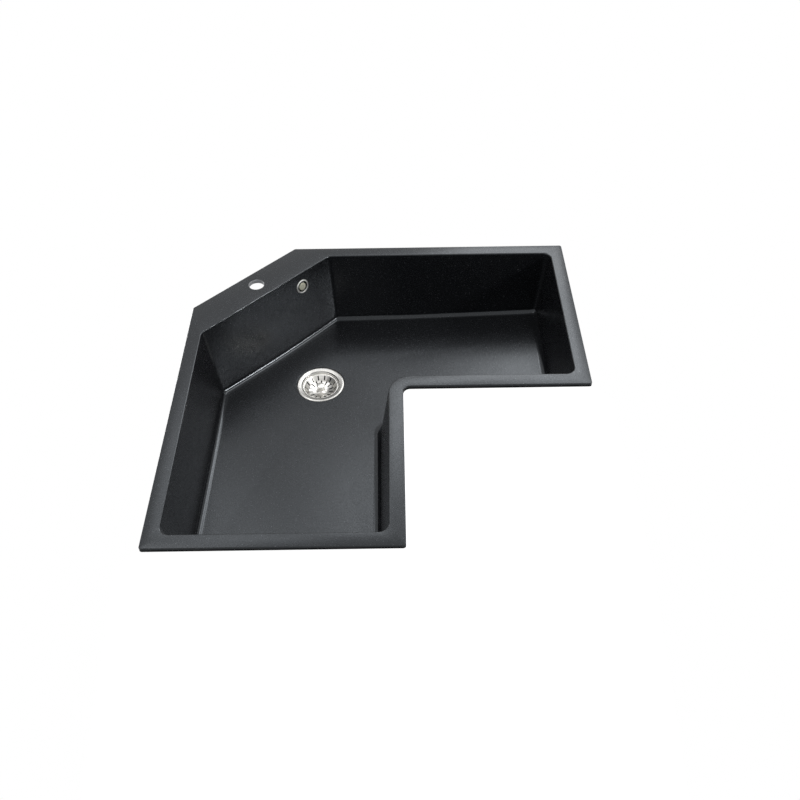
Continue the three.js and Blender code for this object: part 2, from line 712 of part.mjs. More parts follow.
// Cutters for a row of radial slots, midway down the stretch of the section between two of its corners.
function slotRow(outer, inner, length, shift) {
  const middle = outer.clone().lerp(inner, 0.5);
  const lean = new THREE.Matrix4().makeRotationY(-outer.clone().sub(inner).angle());
  const across = SLOT_WIDE / 2;
  const slot = raised(rectangle(-length / 2, -across, length / 2, across), -2 * SLOT_WIDE, 2 * SLOT_WIDE);
  return Array.from({ length: SLOTS_IN_ROW }, (_, i) => {
    const turn = ((i + shift) * 2 * Math.PI) / SLOTS_IN_ROW;
    return placed(slot, spun(turn).multiply(at(middle.x, 0, middle.y)).multiply(lean));
  });
}

// Waisted knob that lifts the basket, bored from below for the stem.
function basketKnob() {
  const foot = BASKET_FLOOR + SEAT_GAP;
  const boreTop = foot + KNOB_TALL * STEM_SHARE;
  const bore = M6_R + RUN_GAP;
  const outer = KNOB_OUTLINE.map(([r, z]) => [KNOB_R * r, foot + KNOB_TALL * z]);
  return turned([[0, boreTop], [bore, boreTop], [bore, foot], ...outer, [0, foot + KNOB_TALL]]);
}

// Cup-shaped rubber stopper: its lip seats round the openings in the foot of the strainer cup.
function basketStopper() {
  const disc = STOPPER_TOP - STOPPER_DISC;
  return turned(
    [
      [STOPPER_R - STOPPER_LIP, STOPPER_FOOT],
      [STOPPER_R, STOPPER_FOOT],
      [STOPPER_R, STOPPER_TOP - STOPPER_EDGE],
      [STOPPER_R - STOPPER_EDGE, STOPPER_TOP],
      [M6_R + RUN_GAP, STOPPER_TOP],
      [M6_R + RUN_GAP, disc],
      [STOPPER_R - STOPPER_LIP, disc],
    ],
    MIDDLE_TURN_STEPS,
  );
}

const STEM_NUT_TOP = STOPPER_TOP - STOPPER_DISC - SEAT_GAP;

function stemNut() {
  const foot = STEM_NUT_TOP - STEM_NUT_TALL;
  const sides = 6;
  const nut = rod(STEM_NUT_FLATS / 2 / Math.cos(Math.PI / sides), foot, STEM_NUT_TOP, sides);
  return cut(nut, rod(M6_R + RUN_GAP, foot - OVERCUT, STEM_NUT_TOP + OVERCUT));
}

function basketStem() {
  const foot = STEM_NUT_TOP - STEM_NUT_TALL;
  return rod(M6_R, foot, BASKET_FLOOR + KNOB_TALL * STEM_SHARE);
}

// ---------------------------------------------------------------- overflow
// Drawn with X along the deck, Y up the wall and Z into the bowl, from the inner face of the wall.

function overflowCentre() {
  return fromDeck(DECK_WIDTH + DRAFT * OVERFLOW_DROP, OVERFLOW_SIDE);
}

function overflowPlace() {
  const p = overflowCentre();
  const x = new THREE.Vector3(ALONG.x, ALONG.y, 0);
  const z = new THREE.Vector3(IN.x, IN.y, DRAFT).normalize();
  const y = z.clone().cross(x);
  return at(p.x, p.y, RIM_TOP - OVERFLOW_DROP).multiply(new THREE.Matrix4().makeBasis(x, y, z));
}

const WALL_NORMAL = WALL / Math.hypot(1, DRAFT); // wall thickness square to its faces
const SLEEVE_R = OVERFLOW_BORE_R - 2 * RUN_GAP;

// Dished ring with a sleeve through the wall and three arms that carry a hub in its middle.
function overflowRing() {
  const shoulder = SEAT_GAP + RING_THICK * RING_SHOULDER;
  const ring = turned(
    [
      [OVERFLOW_MOUTH_R, -WALL_NORMAL],
      [SLEEVE_R, -WALL_NORMAL],
      [SLEEVE_R, SEAT_GAP],
      [OVERFLOW_RING_R, SEAT_GAP],
      [OVERFLOW_RING_R - RING_EDGE, shoulder],
      [OVERFLOW_RING_R - RING_CREST, SEAT_GAP + RING_THICK],
      [OVERFLOW_MOUTH_R + RING_LIP, shoulder],
      [OVERFLOW_MOUTH_R, -RING_LIP],
    ],
    MIDDLE_TURN_STEPS,
  );
  const back = -HUB_SINK - HUB_THICK;
  const hub = rod(HUB_R, back, -HUB_SINK);
  const armHalf = HUB_ARM_WIDE / 2;
  const armPlan = rectangle(HUB_R - OVERCUT, -armHalf, OVERFLOW_MOUTH_R + OVERCUT, armHalf);
  const arm = raised(armPlan, back, -HUB_SINK);
  const arms = Array.from({ length: HUB_ARMS }, (_, i) => {
    return placed(arm, spun((i * 2 * Math.PI) / HUB_ARMS + Math.PI / 2));
  });
  const bore = rod(M5_R + RUN_GAP, back - OVERCUT, -HUB_SINK + OVERCUT);
  return cut(join(ring, hub, ...arms), bore);
}

// Big flat-headed screw that shows as the disc in the middle of the overflow.
function overflowScrew() {
  const tip = -WALL_NORMAL - ELBOW_DEEP / 2;
  const seat = -HUB_SINK + SEAT_GAP;
  const top = OVERFLOW_HEAD_RISE;
  const headFoot = top - OVERFLOW_HEAD_THICK;
  return turned([
    [0, tip],
    [M5_R, tip],
    [M5_R, seat],
    [OVERFLOW_NECK_R, seat],
    [OVERFLOW_NECK_R, headFoot - OVERFLOW_NECK_FLARE],
    [OVERFLOW_HEAD_R, headFoot],
    [OVERFLOW_HEAD_R, top - OVERFLOW_HEAD_EDGE],
    [OVERFLOW_HEAD_R - OVERFLOW_HEAD_EDGE, top],
    [0, top],
  ]);
}

const ELBOW_FACE = -WALL_NORMAL - SEAT_GAP - GASKET_THICK - SEAT_GAP;
const ELBOW_AXIS_Z = ELBOW_FACE - ELBOW_DEEP / 2;

function overflowGasket() {
  const face = -WALL_NORMAL - SEAT_GAP;
  return tube(OVERFLOW_BORE_R, ELBOW_R, face - GASKET_THICK, face, MIDDLE_TURN_STEPS);
}

// Plastic elbow behind the wall: a round chamber with a middle post for the screw and a spout that points
// down along the wall.
function overflowElbow() {
  const back = ELBOW_FACE - ELBOW_DEEP;
  const chamberR = ELBOW_R - ELBOW_FLANGE_WIDE;
  const chamber = turned(
    [
      [0, back],
      [chamberR - ELBOW_EDGE, back],
      [chamberR, back + ELBOW_EDGE],
      [chamberR, ELBOW_FACE - ELBOW_FLANGE_THICK],
      [ELBOW_R, ELBOW_FACE - ELBOW_FLANGE_THICK],
      [ELBOW_R, ELBOW_FACE],
      [0, ELBOW_FACE],
    ],
    MIDDLE_TURN_STEPS,
  );
  const inside = rod(chamberR - ELBOW_WALL, back + ELBOW_WALL, ELBOW_FACE + OVERCUT, MIDDLE_TURN_STEPS);
  const postTop = ELBOW_FACE - POST_SINK;
  const post = cut(
    rod(POST_R, back + ELBOW_WALL / 2, postTop),
    rod(M5_R + RUN_GAP, -WALL_NORMAL - ELBOW_DEEP / 2 - OVERCUT, postTop + OVERCUT),
  );
  const down = at(0, 0, ELBOW_AXIS_Z).multiply(new THREE.Matrix4().makeRotationX(Math.PI / 2));
  const spout = placed(rod(SPIGOT_R, SPIGOT_R, SPOUT_LENGTH), down);
  const bore = placed(rod(SPIGOT_BORE_R, POST_R, SPOUT_LENGTH + OVERCUT), down);
  return join(cut(join(chamber, cut(spout, inside)), inside, bore), post);
}

// ---------------------------------------------------------------- overflow hose

// Ends of the hose: the elbow's spout and the drain body's inlet, each with the way that it points.
function hoseEnds() {
  const elbow = overflowPlace();
  const spoutWay = new THREE.Vector3(0, -1, 0).transformDirection(elbow);
  const spoutEnd = new THREE.Vector3(0, -SPOUT_LENGTH, ELBOW_AXIS_Z).applyMatrix4(elbow);
  const inletWay = new THREE.Vector3(Math.cos(INLET_TURN), Math.sin(INLET_TURN), 0);
  const inletEnd = new THREE.Vector3(DRAIN.x, DRAIN.y, INLET_Z).addScaledVector(inletWay, INLET_REACH);
  return [
    { end: spoutEnd, way: spoutWay },
    { end: inletEnd, way: inletWay },
  ];
}

const HOSE_START = SEAT_GAP * 2 + HOSE_WASHER_THICK; // hose end from the spigot that it is clamped to

// The hose drops along the bowl's wall, turns under its floor and runs level into the drain body.
function hoseRoute() {
  const [top, foot] = hoseEnds();
  const start = top.end.clone().addScaledVector(top.way, HOSE_START);
  const end = foot.end.clone().addScaledVector(foot.way, HOSE_START);
  const dropped = start.clone().addScaledVector(top.way, HOSE_FALL);
  const levelled = end.clone().addScaledVector(foot.way, HOSE_LEVEL);
  return new THREE.CubicBezierCurve3(start, dropped, levelled, end);
}

// Corrugated tube: plain cuffs with a collar at each end, ribs between, and one open bore.
function overflowHose() {
  const route = hoseRoute();
  route.arcLengthDivisions = 400;
  const length = route.getLength();
  const ribs = Math.floor((length - 2 * CUFF_LENGTH) / RIB_PITCH);
  const ribStart = (length - ribs * RIB_PITCH) / 2;
  const outer = [
    [0, COLLAR_R],
    [COLLAR_THICK, COLLAR_R],
    [COLLAR_THICK, HOSE_ROOT_R],
  ];
  for (let i = 0; i < ribs; i++) {
    const s = ribStart + i * RIB_PITCH;
    outer.push([s + RIB_PITCH / 2, HOSE_RIB_R], [s + RIB_PITCH, HOSE_ROOT_R]);
  }
  outer.push([length - COLLAR_THICK, HOSE_ROOT_R], [length - COLLAR_THICK, COLLAR_R], [length, COLLAR_R]);
  const boreSteps = Math.ceil(ribs / 5) * 2;
  const bore = Array.from({ length: boreSteps + 1 }, (_, i) => [length * (1 - i / boreSteps), HOSE_BORE_R]);
  return ringTube(route, length, [...outer, ...bore], HOSE_SIDES);
}

// A closed tube wall that follows a curve. Each section is [distance along the curve, radius], going out
// along the outside and back along the bore.
function ringTube(route, length, sections, sides) {
  const up = route.getTangent(0).cross(route.getTangent(1)).normalize();
  const points = sections.flatMap(([s, radius]) => {
    const u = THREE.MathUtils.clamp(s / length, 0, 1);
    const centre = route.getPointAt(u);
    const ahead = route.getTangentAt(u);
    const across = up.clone().cross(ahead).normalize();
    const lift = ahead.clone().cross(across);
    return Array.from({ length: sides }, (_, k) => {
      const turn = (k * 2 * Math.PI) / sides;
      const outward = across.clone().multiplyScalar(Math.cos(turn)).addScaledVector(lift, Math.sin(turn));
      return centre.clone().addScaledVector(outward, radius);
    });
  });
  const faces = [];
  sections.forEach((_, j) => {
    const next = (j + 1) % sections.length;
    for (let k = 0; k < sides; k++) {
      const turn = (k + 1) % sides;
      const [a, b] = [j * sides + k, j * sides + turn];
      const [c, d] = [next * sides + k, next * sides + turn];
      faces.push(a, b, c, b, d, c);
    }
  });
  return solidOf(new THREE.BufferGeometry().setFromPoints(points).setIndex(faces));
}

// Union nut with grip flutes, drawn along Z from the spigot's end: it screws back over the spigot and
// holds the hose's collar with its lip.
function hoseNut() {
  const lip = HOSE_START + COLLAR_THICK + SEAT_GAP;
  const back = lip + HOSE_NUT_LIP - HOSE_NUT_TALL;
  const front = lip + HOSE_NUT_LIP;
  const grip = new THREE.Shape(
    Array.from({ length: 2 * NUT_FLUTES }, (_, i) => {
      const turn = (i * Math.PI) / NUT_FLUTES;
      const radius = HOSE_NUT_R - (i % 2) * FLUTE_DEEP;
      return new THREE.Vector2(radius * Math.cos(turn), radius * Math.sin(turn));
    }),
  );
  const room = rod(SPIGOT_R + RUN_GAP, back - OVERCUT, lip, MIDDLE_TURN_STEPS);
  const mouth = rod(HOSE_ROOT_R + 2 * RUN_GAP, lip - OVERCUT, front + OVERCUT, MIDDLE_TURN_STEPS);
  return cut(raised(grip, back, front), room, mouth);
}

function hoseWasher() {
  return tube(SPIGOT_BORE_R, SPIGOT_R - SEAT_GAP, SEAT_GAP, SEAT_GAP + HOSE_WASHER_THICK);
}

// Turns a piece that is drawn along Z so that it stands on a hose end.
function onHoseEnd({ end, way }) {
  const turn = new THREE.Quaternion().setFromUnitVectors(new THREE.Vector3(0, 0, 1), way);
  return at(end.x, end.y, end.z).multiply(new THREE.Matrix4().makeRotationFromQuaternion(turn));
}

// ---------------------------------------------------------------- clamps
// Drawn on one side of the plan: X along the side, Y into the bowl, pivot at X = 0, parked along the wall.

const PIVOT_TOP = -LUG_TALL - SEAT_GAP;

// Cranked steel arm: pivot end under the lug, a step down, and a jaw that turns up to bite the worktop.
function clampArm() {
  const t = ARM_SHEET;
  const high = PIVOT_TOP;
  const low = t - WORKTOP - SEAT_GAP - JAW_TALL;
  const heel = ARM_WIDE / 2;
  const profile = new THREE.Shape()
    .moveTo(-heel, high)
    .lineTo(-heel, high - t)
    .lineTo(heel, high - t)
    .lineTo(heel + JAW_SLOPE, low - t)
    .lineTo(ARM_REACH, low - t)
    .lineTo(ARM_REACH, low - t + JAW_TALL)
    .lineTo(ARM_REACH - t, low - t + JAW_TALL)
    .lineTo(ARM_REACH - t, low)
    .lineTo(heel + JAW_SLOPE + t / 2, low)
    .lineTo(heel + t / 2, high)
    .closePath();
  const strip = raised(profile, -ARM_WIDE / 2, ARM_WIDE / 2);
  const upright = new THREE.Matrix4().makeRotationX(Math.PI / 2);
  const hole = rod(M4_R + RUN_GAP, high - t - OVERCUT, high + OVERCUT);
  const heelRound = cut(
    raised(rectangle(-ARM_WIDE, -ARM_WIDE, 0, ARM_WIDE), high - t - OVERCUT, high + OVERCUT),
    rod(ARM_WIDE / 2, high - t - 2 * OVERCUT, high + 2 * OVERCUT),
  );
  return cut(placed(strip, upright), hole, heelRound);
}

// Screw that holds the arm up against its lug, head down.
function clampScrew() {
  const seat = -(PIVOT_TOP - ARM_SHEET - SEAT_GAP);
  const screw = panScrew(M4_R, CLAMP_SCREW_LENGTH, seat);
  return placed(screw, new THREE.Matrix4().makeRotationX(Math.PI));
}

function clampInsert() {
  return tube(M4_R + RUN_GAP, INSERT_R, -LUG_TALL, -LUG_TALL + INSERT_TALL);
}

// ---------------------------------------------------------------- assembly

const sink = new THREE.Group();
sink.position.set(-ORIGIN.x, -ORIGIN.y, 0);
sink.add(named("sink_bowl", sinkBowl(), granite));

const waste = new THREE.Group();
waste.position.set(DRAIN.x, DRAIN.y, 0);
waste.add(
  named("strainer_cup", strainerCup(), steel),
  named("flange_gasket", flangeGasket(), rubber),
  named("lower_gasket", lowerGasket(), rubber),
  named("drain_body", drainBody(), plastic),
  named("cup_screw", panScrew(M6_R, CUP_SCREW_LENGTH, CUP_FLOOR + SEAT_GAP), steel),
);

const basket = new THREE.Group();
basket.add(
  named("strainer_basket", strainerBasket(), steel),
  named("basket_knob", basketKnob(), steel),
  named("basket_stem", basketStem(), steel),
  named("basket_stopper", basketStopper(), rubber),
  named("stem_nut", stemNut(), steel),
);
waste.add(basket);
sink.add(waste);

const overflow = new THREE.Group();
overflow.applyMatrix4(overflowPlace());
overflow.add(
  named("overflow_ring", overflowRing(), steel),
  named("overflow_screw", overflowScrew(), satinSteel),
  named("overflow_gasket", overflowGasket(), rubber),
  named("overflow_elbow", overflowElbow(), plastic),
);
sink.add(overflow);

sink.add(named("overflow_hose", overflowHose(), plastic));
hoseEnds().forEach((hoseEnd, i) => {
  const joint = new THREE.Group();
  joint.applyMatrix4(onHoseEnd(hoseEnd));
  const place = ["upper", "lower"][i];
  joint.add(named(`hose_nut_${place}`, hoseNut(), plastic));
  joint.add(named(`hose_washer_${place}`, hoseWasher(), rubber));
  sink.add(joint);
});

CLAMP_STATIONS.forEach((station, i) => {
  const clamp = new THREE.Group();
  clamp.applyMatrix4(onSide(...station).multiply(at(0, SCREW_INSET)));
  clamp.add(named(`clamp_arm_${i + 1}`, clampArm(), zincSteel));
  clamp.add(named(`clamp_screw_${i + 1}`, clampScrew(), zincSteel));
  clamp.add(named(`clamp_insert_${i + 1}`, clampInsert(), brass));
  sink.add(clamp);
});

const part = new THREE.Group();
part.add(sink);

export default part;
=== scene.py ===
import math

import bmesh
import bpy
from mathutils import Matrix, Vector


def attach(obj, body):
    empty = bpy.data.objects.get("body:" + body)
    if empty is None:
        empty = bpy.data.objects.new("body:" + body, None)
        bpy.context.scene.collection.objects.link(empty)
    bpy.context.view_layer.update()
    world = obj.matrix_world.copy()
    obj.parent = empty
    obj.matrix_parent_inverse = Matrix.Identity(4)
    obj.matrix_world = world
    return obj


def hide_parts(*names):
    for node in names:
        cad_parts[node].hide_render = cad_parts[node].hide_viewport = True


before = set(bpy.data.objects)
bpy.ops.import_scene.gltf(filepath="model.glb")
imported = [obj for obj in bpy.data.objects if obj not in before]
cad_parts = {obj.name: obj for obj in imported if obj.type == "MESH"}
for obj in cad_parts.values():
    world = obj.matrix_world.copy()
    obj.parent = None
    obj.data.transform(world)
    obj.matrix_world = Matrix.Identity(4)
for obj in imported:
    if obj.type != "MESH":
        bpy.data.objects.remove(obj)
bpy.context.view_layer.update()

bpy.ops.object.select_all(action="DESELECT")

# ---------------------------------------------------------------- view and light
# The sink is seen from in front and above. Soft lamps stand round the back of it, where its floor and
# rim reflect them, a small one on the right draws the bright line in the hollow below the tap deck, and
# two below the rim light the underside.

camera = bpy.data.objects.new("camera", bpy.data.cameras.new("camera"))
camera.data.lens = 39.38
camera.data.sensor_width = 36
camera.location = (0.3469, -1.6159, 1.2975)
camera.rotation_euler = [math.radians(turn) for turn in (43.4304, 0.4734, -0.667)]
bpy.context.collection.objects.link(camera)
bpy.context.scene.camera = camera
bpy.context.scene.view_settings.view_transform = "Standard"

LIT_POINT = Vector((0.32, -0.32, 0))
COOL = (0.97, 0.985, 1)


def softbox(name, azimuth, elevation, distance, size, brightness, tint=(1, 1, 1)):
    """A rectangular lamp that faces the sink. Azimuth 0 is in front of the sink and 90 on its right."""
    a, e = math.radians(azimuth), math.radians(elevation)
    way = Vector((math.sin(a) * math.cos(e), -math.cos(a) * math.cos(e), math.sin(e)))
    lamp = bpy.data.lights.new(name, "AREA")
    lamp.shape = "RECTANGLE"
    lamp.size, lamp.size_y = size
    lamp.energy = brightness * math.pi * size[0] * size[1]
    lamp.color = tint
    holder = bpy.data.objects.new(name, lamp)
    holder.location = LIT_POINT + way * distance
    holder.rotation_euler = way.to_track_quat("Z", "Y").to_euler()
    holder.visible_camera = False
    bpy.context.collection.objects.link(holder)


softbox("back_light", 180, 50, 3, (0.75, 0.62), 4.4, COOL)
softbox("back_right_light", 165, 36, 3, (0.75, 1.15), 4.1, COOL)
softbox("far_right_light", 150, 47, 3, (0.75, 0.9), 4.0, COOL)
softbox("back_left_light", 210, 55, 3, (0.75, 0.95), 2.3, COOL)
softbox("high_left_light", 240, 62, 3, (0.75, 0.62), 3.3)
softbox("high_right_light", 120, 62, 3, (0.75, 0.62), 5.6)
softbox("right_light", 75, 29, 3, (0.36, 0.3), 75)
softbox("low_back_light", 215, -30, 3, (1.6, 1.2), 6.5)
softbox("low_front_light", 20, -35, 3, (1.6, 1.2), 6.5)

world = bpy.data.worlds.new("surround")
world.use_nodes = True
bpy.context.scene.world = world
sky, join = world.node_tree.nodes, world.node_tree.links.new
sky.clear()
ray = sky.new("ShaderNodeLightPath")
backdrop = sky.new("ShaderNodeBackground")
backdrop.inputs["Color"].default_value = (1, 1, 1, 1)
fill = sky.new("ShaderNodeBackground")
fill.inputs["Color"].default_value = (0.94, 0.97, 1, 1)
fill.inputs["Strength"].default_value = 0.35
seen = ray.outputs["Is Camera Ray"]
for kind in ("Is Glossy Ray", "Is Transmission Ray"):
    either = sky.new("ShaderNodeMath")
    either.operation = "MAXIMUM"
    join(seen, either.inputs[0])
    join(ray.outputs[kind], either.inputs[1])
    seen = either.outputs[0]
choice = sky.new("ShaderNodeMixShader")
join(seen, choice.inputs[0])
join(fill.outputs[0], choice.inputs[1])
join(backdrop.outputs[0], choice.inputs[2])
join(choice.outputs[0], sky.new("ShaderNodeOutputWorld").inputs["Surface"])

# ---------------------------------------------------------------- bowl
# Bowl, rim, tap deck and clamp lugs are one moulding of dark granite composite: quartz sand in acrylic
# resin, smooth inside and on the rim, dull outside. Its even wall is skinned through rings that run
# round the plan, from the rim's edge down the inside, through the waste and up the outside.

MM = 0.001
OVERALL = 860
ARM_WIDTH = 470
REAR_CUT = 214
RIM_THICK = 10
RIM_WIDTH = 30
DECK_WIDTH = 81
RIM_CORNER = 5
KNEE_CORNER = 15
RIM_EDGE = 1.5
MOUTH_EDGE = 2.5
BOWL_DEPTH = 190
FLOOR_FALL = 0.04
DRAFT = 0.12
WALL = 9
FLOOR_THICK = 10
MOUTH_CORNER, FLOOR_CORNER = 20, 11
MOUTH_KNEE, FLOOR_KNEE = 45, 32
FLOOR_FILLET = 13
SEAT_INSET = 8
DRAIN_FROM_DECK = 239
DRAIN_BORE_R = 46.5
FLANGE_R = 56
PAD_R = 62
PAD_DROP = 14
TAP_HOLE_R = 17.5
TAP_HOLE_SETBACK = 39
OVERFLOW_SIDE = 96.5
OVERFLOW_DROP = 36
OVERFLOW_BORE_R = 15
SEAT_DEPTH = 3.3
GAP = 0.3  # between a piece and its seat
CORNER_FACES = 10  # in a right-angled corner
RUN_FACES = 10  # along each straight side

CORNERS = [Vector(p) for p in (
    (0, 0),
    (ARM_WIDTH, 0),
    (ARM_WIDTH, OVERALL - ARM_WIDTH),
    (OVERALL, OVERALL - ARM_WIDTH),
    (OVERALL, OVERALL),
    (REAR_CUT, OVERALL),
    (0, OVERALL - REAR_CUT),
)]
KNEE, DECK_SIDE = 2, 5
INWARD = Vector((1, -1)).normalized()
ALONG = Vector((1, 1)).normalized()
DECK_MIDDLE = (CORNERS[5] + CORNERS[6]) / 2
DRAIN = DECK_MIDDLE + INWARD * DRAIN_FROM_DECK
ORIGIN = DECK_MIDDLE + INWARD * SEAT_INSET
RIM_TOP = RIM_THICK
FLOOR_APEX = RIM_TOP - BOWL_DEPTH


def placed(x, y, z):
    """A point of the plan, in millimetres, as a point of the part's own frame in metres."""
    return Vector(((x - ORIGIN.x) * MM, (y - ORIGIN.y) * MM, z * MM))


def plan_side(index):
    """A side of the plan: its start, its way along and the way into the bowl."""
    start = CORNERS[index % 7]
    run = (CORNERS[(index + 1) % 7] - start).normalized()
    return start, run, Vector((-run.y, run.x))


def crossing(index, insets):
    """Where the sides before and after a corner meet once each has moved inwards."""
    p, run_p, in_p = plan_side(index - 1)
    q, run_q, in_q = plan_side(index)
    p = p + in_p * insets[(index - 1) % 7]
    q = q + in_q * insets[index]
    gap = q - p
    travel = (gap.x * run_q.y - gap.y * run_q.x) / (run_p.x * run_q.y - run_p.y * run_q.x)
    return p + run_p * travel


def plan_ring(inset, deck_inset, corner, knee):
    """Points round the plan with rounded corners. All rings have as many points, place by place."""
    insets = [deck_inset if i == DECK_SIDE else inset for i in range(7)]
    arcs = []
    for i in range(7):
        tip = crossing(i, insets)
        before, after = plan_side(i - 1)[1], plan_side(i)[1]
        turn = math.atan2(before.x * after.y - before.y * after.x, before.dot(after))
        radius = knee if i == KNEE else corner
        start = tip - before * radius * math.tan(abs(turn) / 2)
        centre = start + Vector((-before.y, before.x)) * math.copysign(radius, turn)
        steps = round(CORNER_FACES * abs(turn) / (math.pi / 2))
        spoke = start - centre
        arc = []
        for k in range(steps + 1):
            c, s = math.cos(turn * k / steps), math.sin(turn * k / steps)
            arc.append(centre + Vector((spoke.x * c - spoke.y * s, spoke.x * s + spoke.y * c)))
        arcs.append(arc)
    ring = []
    for i, arc in enumerate(arcs):
        following = arcs[(i + 1) % 7][0]
        ring += arc + [arc[-1].lerp(following, k / RUN_FACES) for k in range(1, RUN_FACES)]
    return ring


def wall_ring(z, extra=0.0):
    """The bowl's inner wall face at a height, moved inwards by extra."""
    down = RIM_TOP - z
    lean = DRAFT * down + extra
    share = min(down / BOWL_DEPTH, 1)
    corner = MOUTH_CORNER + (FLOOR_CORNER - MOUTH_CORNER) * share
    knee = MOUTH_KNEE + (FLOOR_KNEE - MOUTH_KNEE) * share
    return plan_ring(RIM_WIDTH + lean, DECK_WIDTH + lean, corner, knee)


def rim_ring(inset, z):
    """A ring round the rim's outer edge, moved inwards, at a height."""
    return level(plan_ring(inset, inset, max(RIM_CORNER - inset, 1), KNEE_CORNER + inset), z)


def level(ring, z):
    """A plan ring's points, all at one height."""
    return [(p.x, p.y, z) for p in ring]


def floor_z(p):
    """The height of the bowl's floor, which falls to the waste from all sides."""
    return FLOOR_APEX + FLOOR_FALL * (Vector(p[:2]) - DRAIN).length


def wall_and_floor(reach, offset, drop, steps):
    """Rings down a drafted wall and through the hollow at its foot on to the floor."""
    shallow = RIM_TOP - BOWL_DEPTH / 2
    upper = wall_ring(shallow, -offset)
    lower = wall_ring(FLOOR_APEX, -offset)
    inner = wall_ring(FLOOR_APEX, reach - offset)
    found = [[] for _ in range(steps + 1)]
    for a, b, c in zip(upper, lower, inner):
        foot = floor_z(b) - drop
        tip = a.lerp(b, (shallow - foot) / (shallow - FLOOR_APEX))
        high = a.lerp(b, (shallow - foot - reach) / (shallow - FLOOR_APEX))
        start, corner = Vector((high.x, high.y, foot + reach)), Vector((tip.x, tip.y, foot))
        end = Vector((c.x, c.y, floor_z(c) - drop))
        for k, ring in enumerate(found):
            t = k / steps
            ring.append(tuple(start * (1 - t) ** 2 + corner * 2 * t * (1 - t) + end * t * t))
    return found


def round_waste(radius, z, like):
    """A circle about the waste whose points lie opposite those of another ring, by default on the floor."""
    points = []
    for p in like:
        q = DRAIN + (Vector(p[:2]) - DRAIN).normalized() * radius
        points.append((q.x, q.y, floor_z(q) if z is None else z))
    return points


rings = [rim_ring(RIM_EDGE / 2, 0), rim_ring(0, RIM_EDGE / 2), rim_ring(0, RIM_TOP / 2)]
for k in range(6):
    t = math.pi / 2 * k / 5
    rings.append(rim_ring(RIM_EDGE * (1 - math.cos(t)), RIM_TOP - RIM_EDGE * (1 - math.sin(t))))
mouth_start = len(rings)
for k in range(7):
    t = math.pi / 2 * k / 6
    inner = wall_ring(RIM_TOP, DRAFT * MOUTH_EDGE - MOUTH_EDGE * (1 - math.sin(t)))
    rings.append(level(inner, RIM_TOP - MOUTH_EDGE * (1 - math.cos(t))))
wall_start = len(rings)
rings += [level(wall_ring(z), z) for z in (-20, -60, -110)]
hollow_start = len(rings)
rings += wall_and_floor(FLOOR_FILLET, 0, 0, 10)
floor_start = len(rings)
edge = rings[-1]
seat_r = FLANGE_R + 0.6
seat_z = FLOOR_APEX + FLOOR_FALL * FLANGE_R - SEAT_DEPTH
rings += [round_waste(r, None, edge) for r in (112, 88, 66, seat_r + 1.1, seat_r + 0.8)]
rings += [round_waste(seat_r, FLOOR_APEX + FLOOR_FALL * seat_r - 0.5, edge)]
rings += [round_waste(seat_r, seat_z, edge), round_waste(DRAIN_BORE_R, seat_z, edge)]
inside_rings = len(rings)
pad_z = FLOOR_APEX - PAD_DROP
rings += [round_waste(DRAIN_BORE_R, pad_z, edge), round_waste(PAD_R - 1, pad_z, edge)]
under_floor = FLOOR_APEX + FLOOR_FALL * PAD_R - FLOOR_THICK
rings += [round_waste(PAD_R, pad_z + 1, edge), round_waste(PAD_R, under_floor, edge)]
rings += wall_and_floor(FLOOR_FILLET + WALL / 2, WALL, FLOOR_THICK, 8)[::-1]
rings += [level(wall_ring(z, -WALL), z) for z in (-110, -60, -3)]
rings += [level(wall_ring(0, -WALL - 2), 0)]


def stored(piece, name, values, domain="POINT"):
    """Keeps a value for each point or face of a piece, for its material to read."""
    piece.data.attributes.new(name, "FLOAT", domain).data.foreach_set("value", values)


def meshed(name, points, faces):
    """A piece from its points and faces."""
    mesh = bpy.data.meshes.new(name)
    mesh.from_pydata(points, [], faces)
    piece = bpy.data.objects.new(name, mesh)
    bpy.context.collection.objects.link(piece)
    return piece


def skinned(name, points, count):
    """A piece whose skin runs through closed rings of count points, and from the last to the first."""
    faces = []
    for here in range(0, len(points), count):
        there = (here + count) % len(points)
        for i in range(count):
            j = (i + 1) % count
            faces.append((here + i, here + j, there + j, there + i))
    piece = meshed(name, points, faces)
    faced_out(piece)
    return piece


def alone(piece):
    """Makes a piece the only selected one, and the active one."""
    bpy.ops.object.select_all(action="DESELECT")
    piece.select_set(True)
    bpy.context.view_layer.objects.active = piece


def editing(piece):
    """Opens a piece in edit mode with all of it selected."""
    alone(piece)
    bpy.ops.object.mode_set(mode="EDIT")
    bpy.ops.mesh.select_all(action="SELECT")


def faced_out(piece):
    """Turns all of a piece's faces outwards."""
    editing(piece)
    bpy.ops.mesh.normals_make_consistent(inside=False)
    bpy.ops.object.mode_set(mode="OBJECT")


def applied(piece, kind, **values):
    """Adds a modifier with its values and applies it."""
    alone(piece)
    made = piece.modifiers.new(kind.lower(), kind)
    for key, value in values.items():
        setattr(made, key, value)
    bpy.ops.object.modifier_apply(modifier=made.name)


def copied(piece, name, place=None):
    """A copy of a piece with its own mesh, set in a place."""
    twin = piece.copy()
    twin.data = piece.data.copy()
    twin.name = twin.data.name = name
    bpy.context.collection.objects.link(twin)
    return fixed(twin, place) if place else twin


def fixed(piece, place):
    """Sets a piece in its place, and leaves that place in its mesh."""
    piece.matrix_world = place
    alone(piece)
    bpy.ops.object.transform_apply(location=True, rotation=True, scale=True)
    return piece


def united(pieces):
    """Several pieces that don't meet, as the bodies of one piece."""
    bpy.ops.object.select_all(action="DESELECT")
    for piece in pieces:
        piece.select_set(True)
    bpy.context.view_layer.objects.active = pieces[0]
    bpy.ops.object.join()
    return pieces[0]


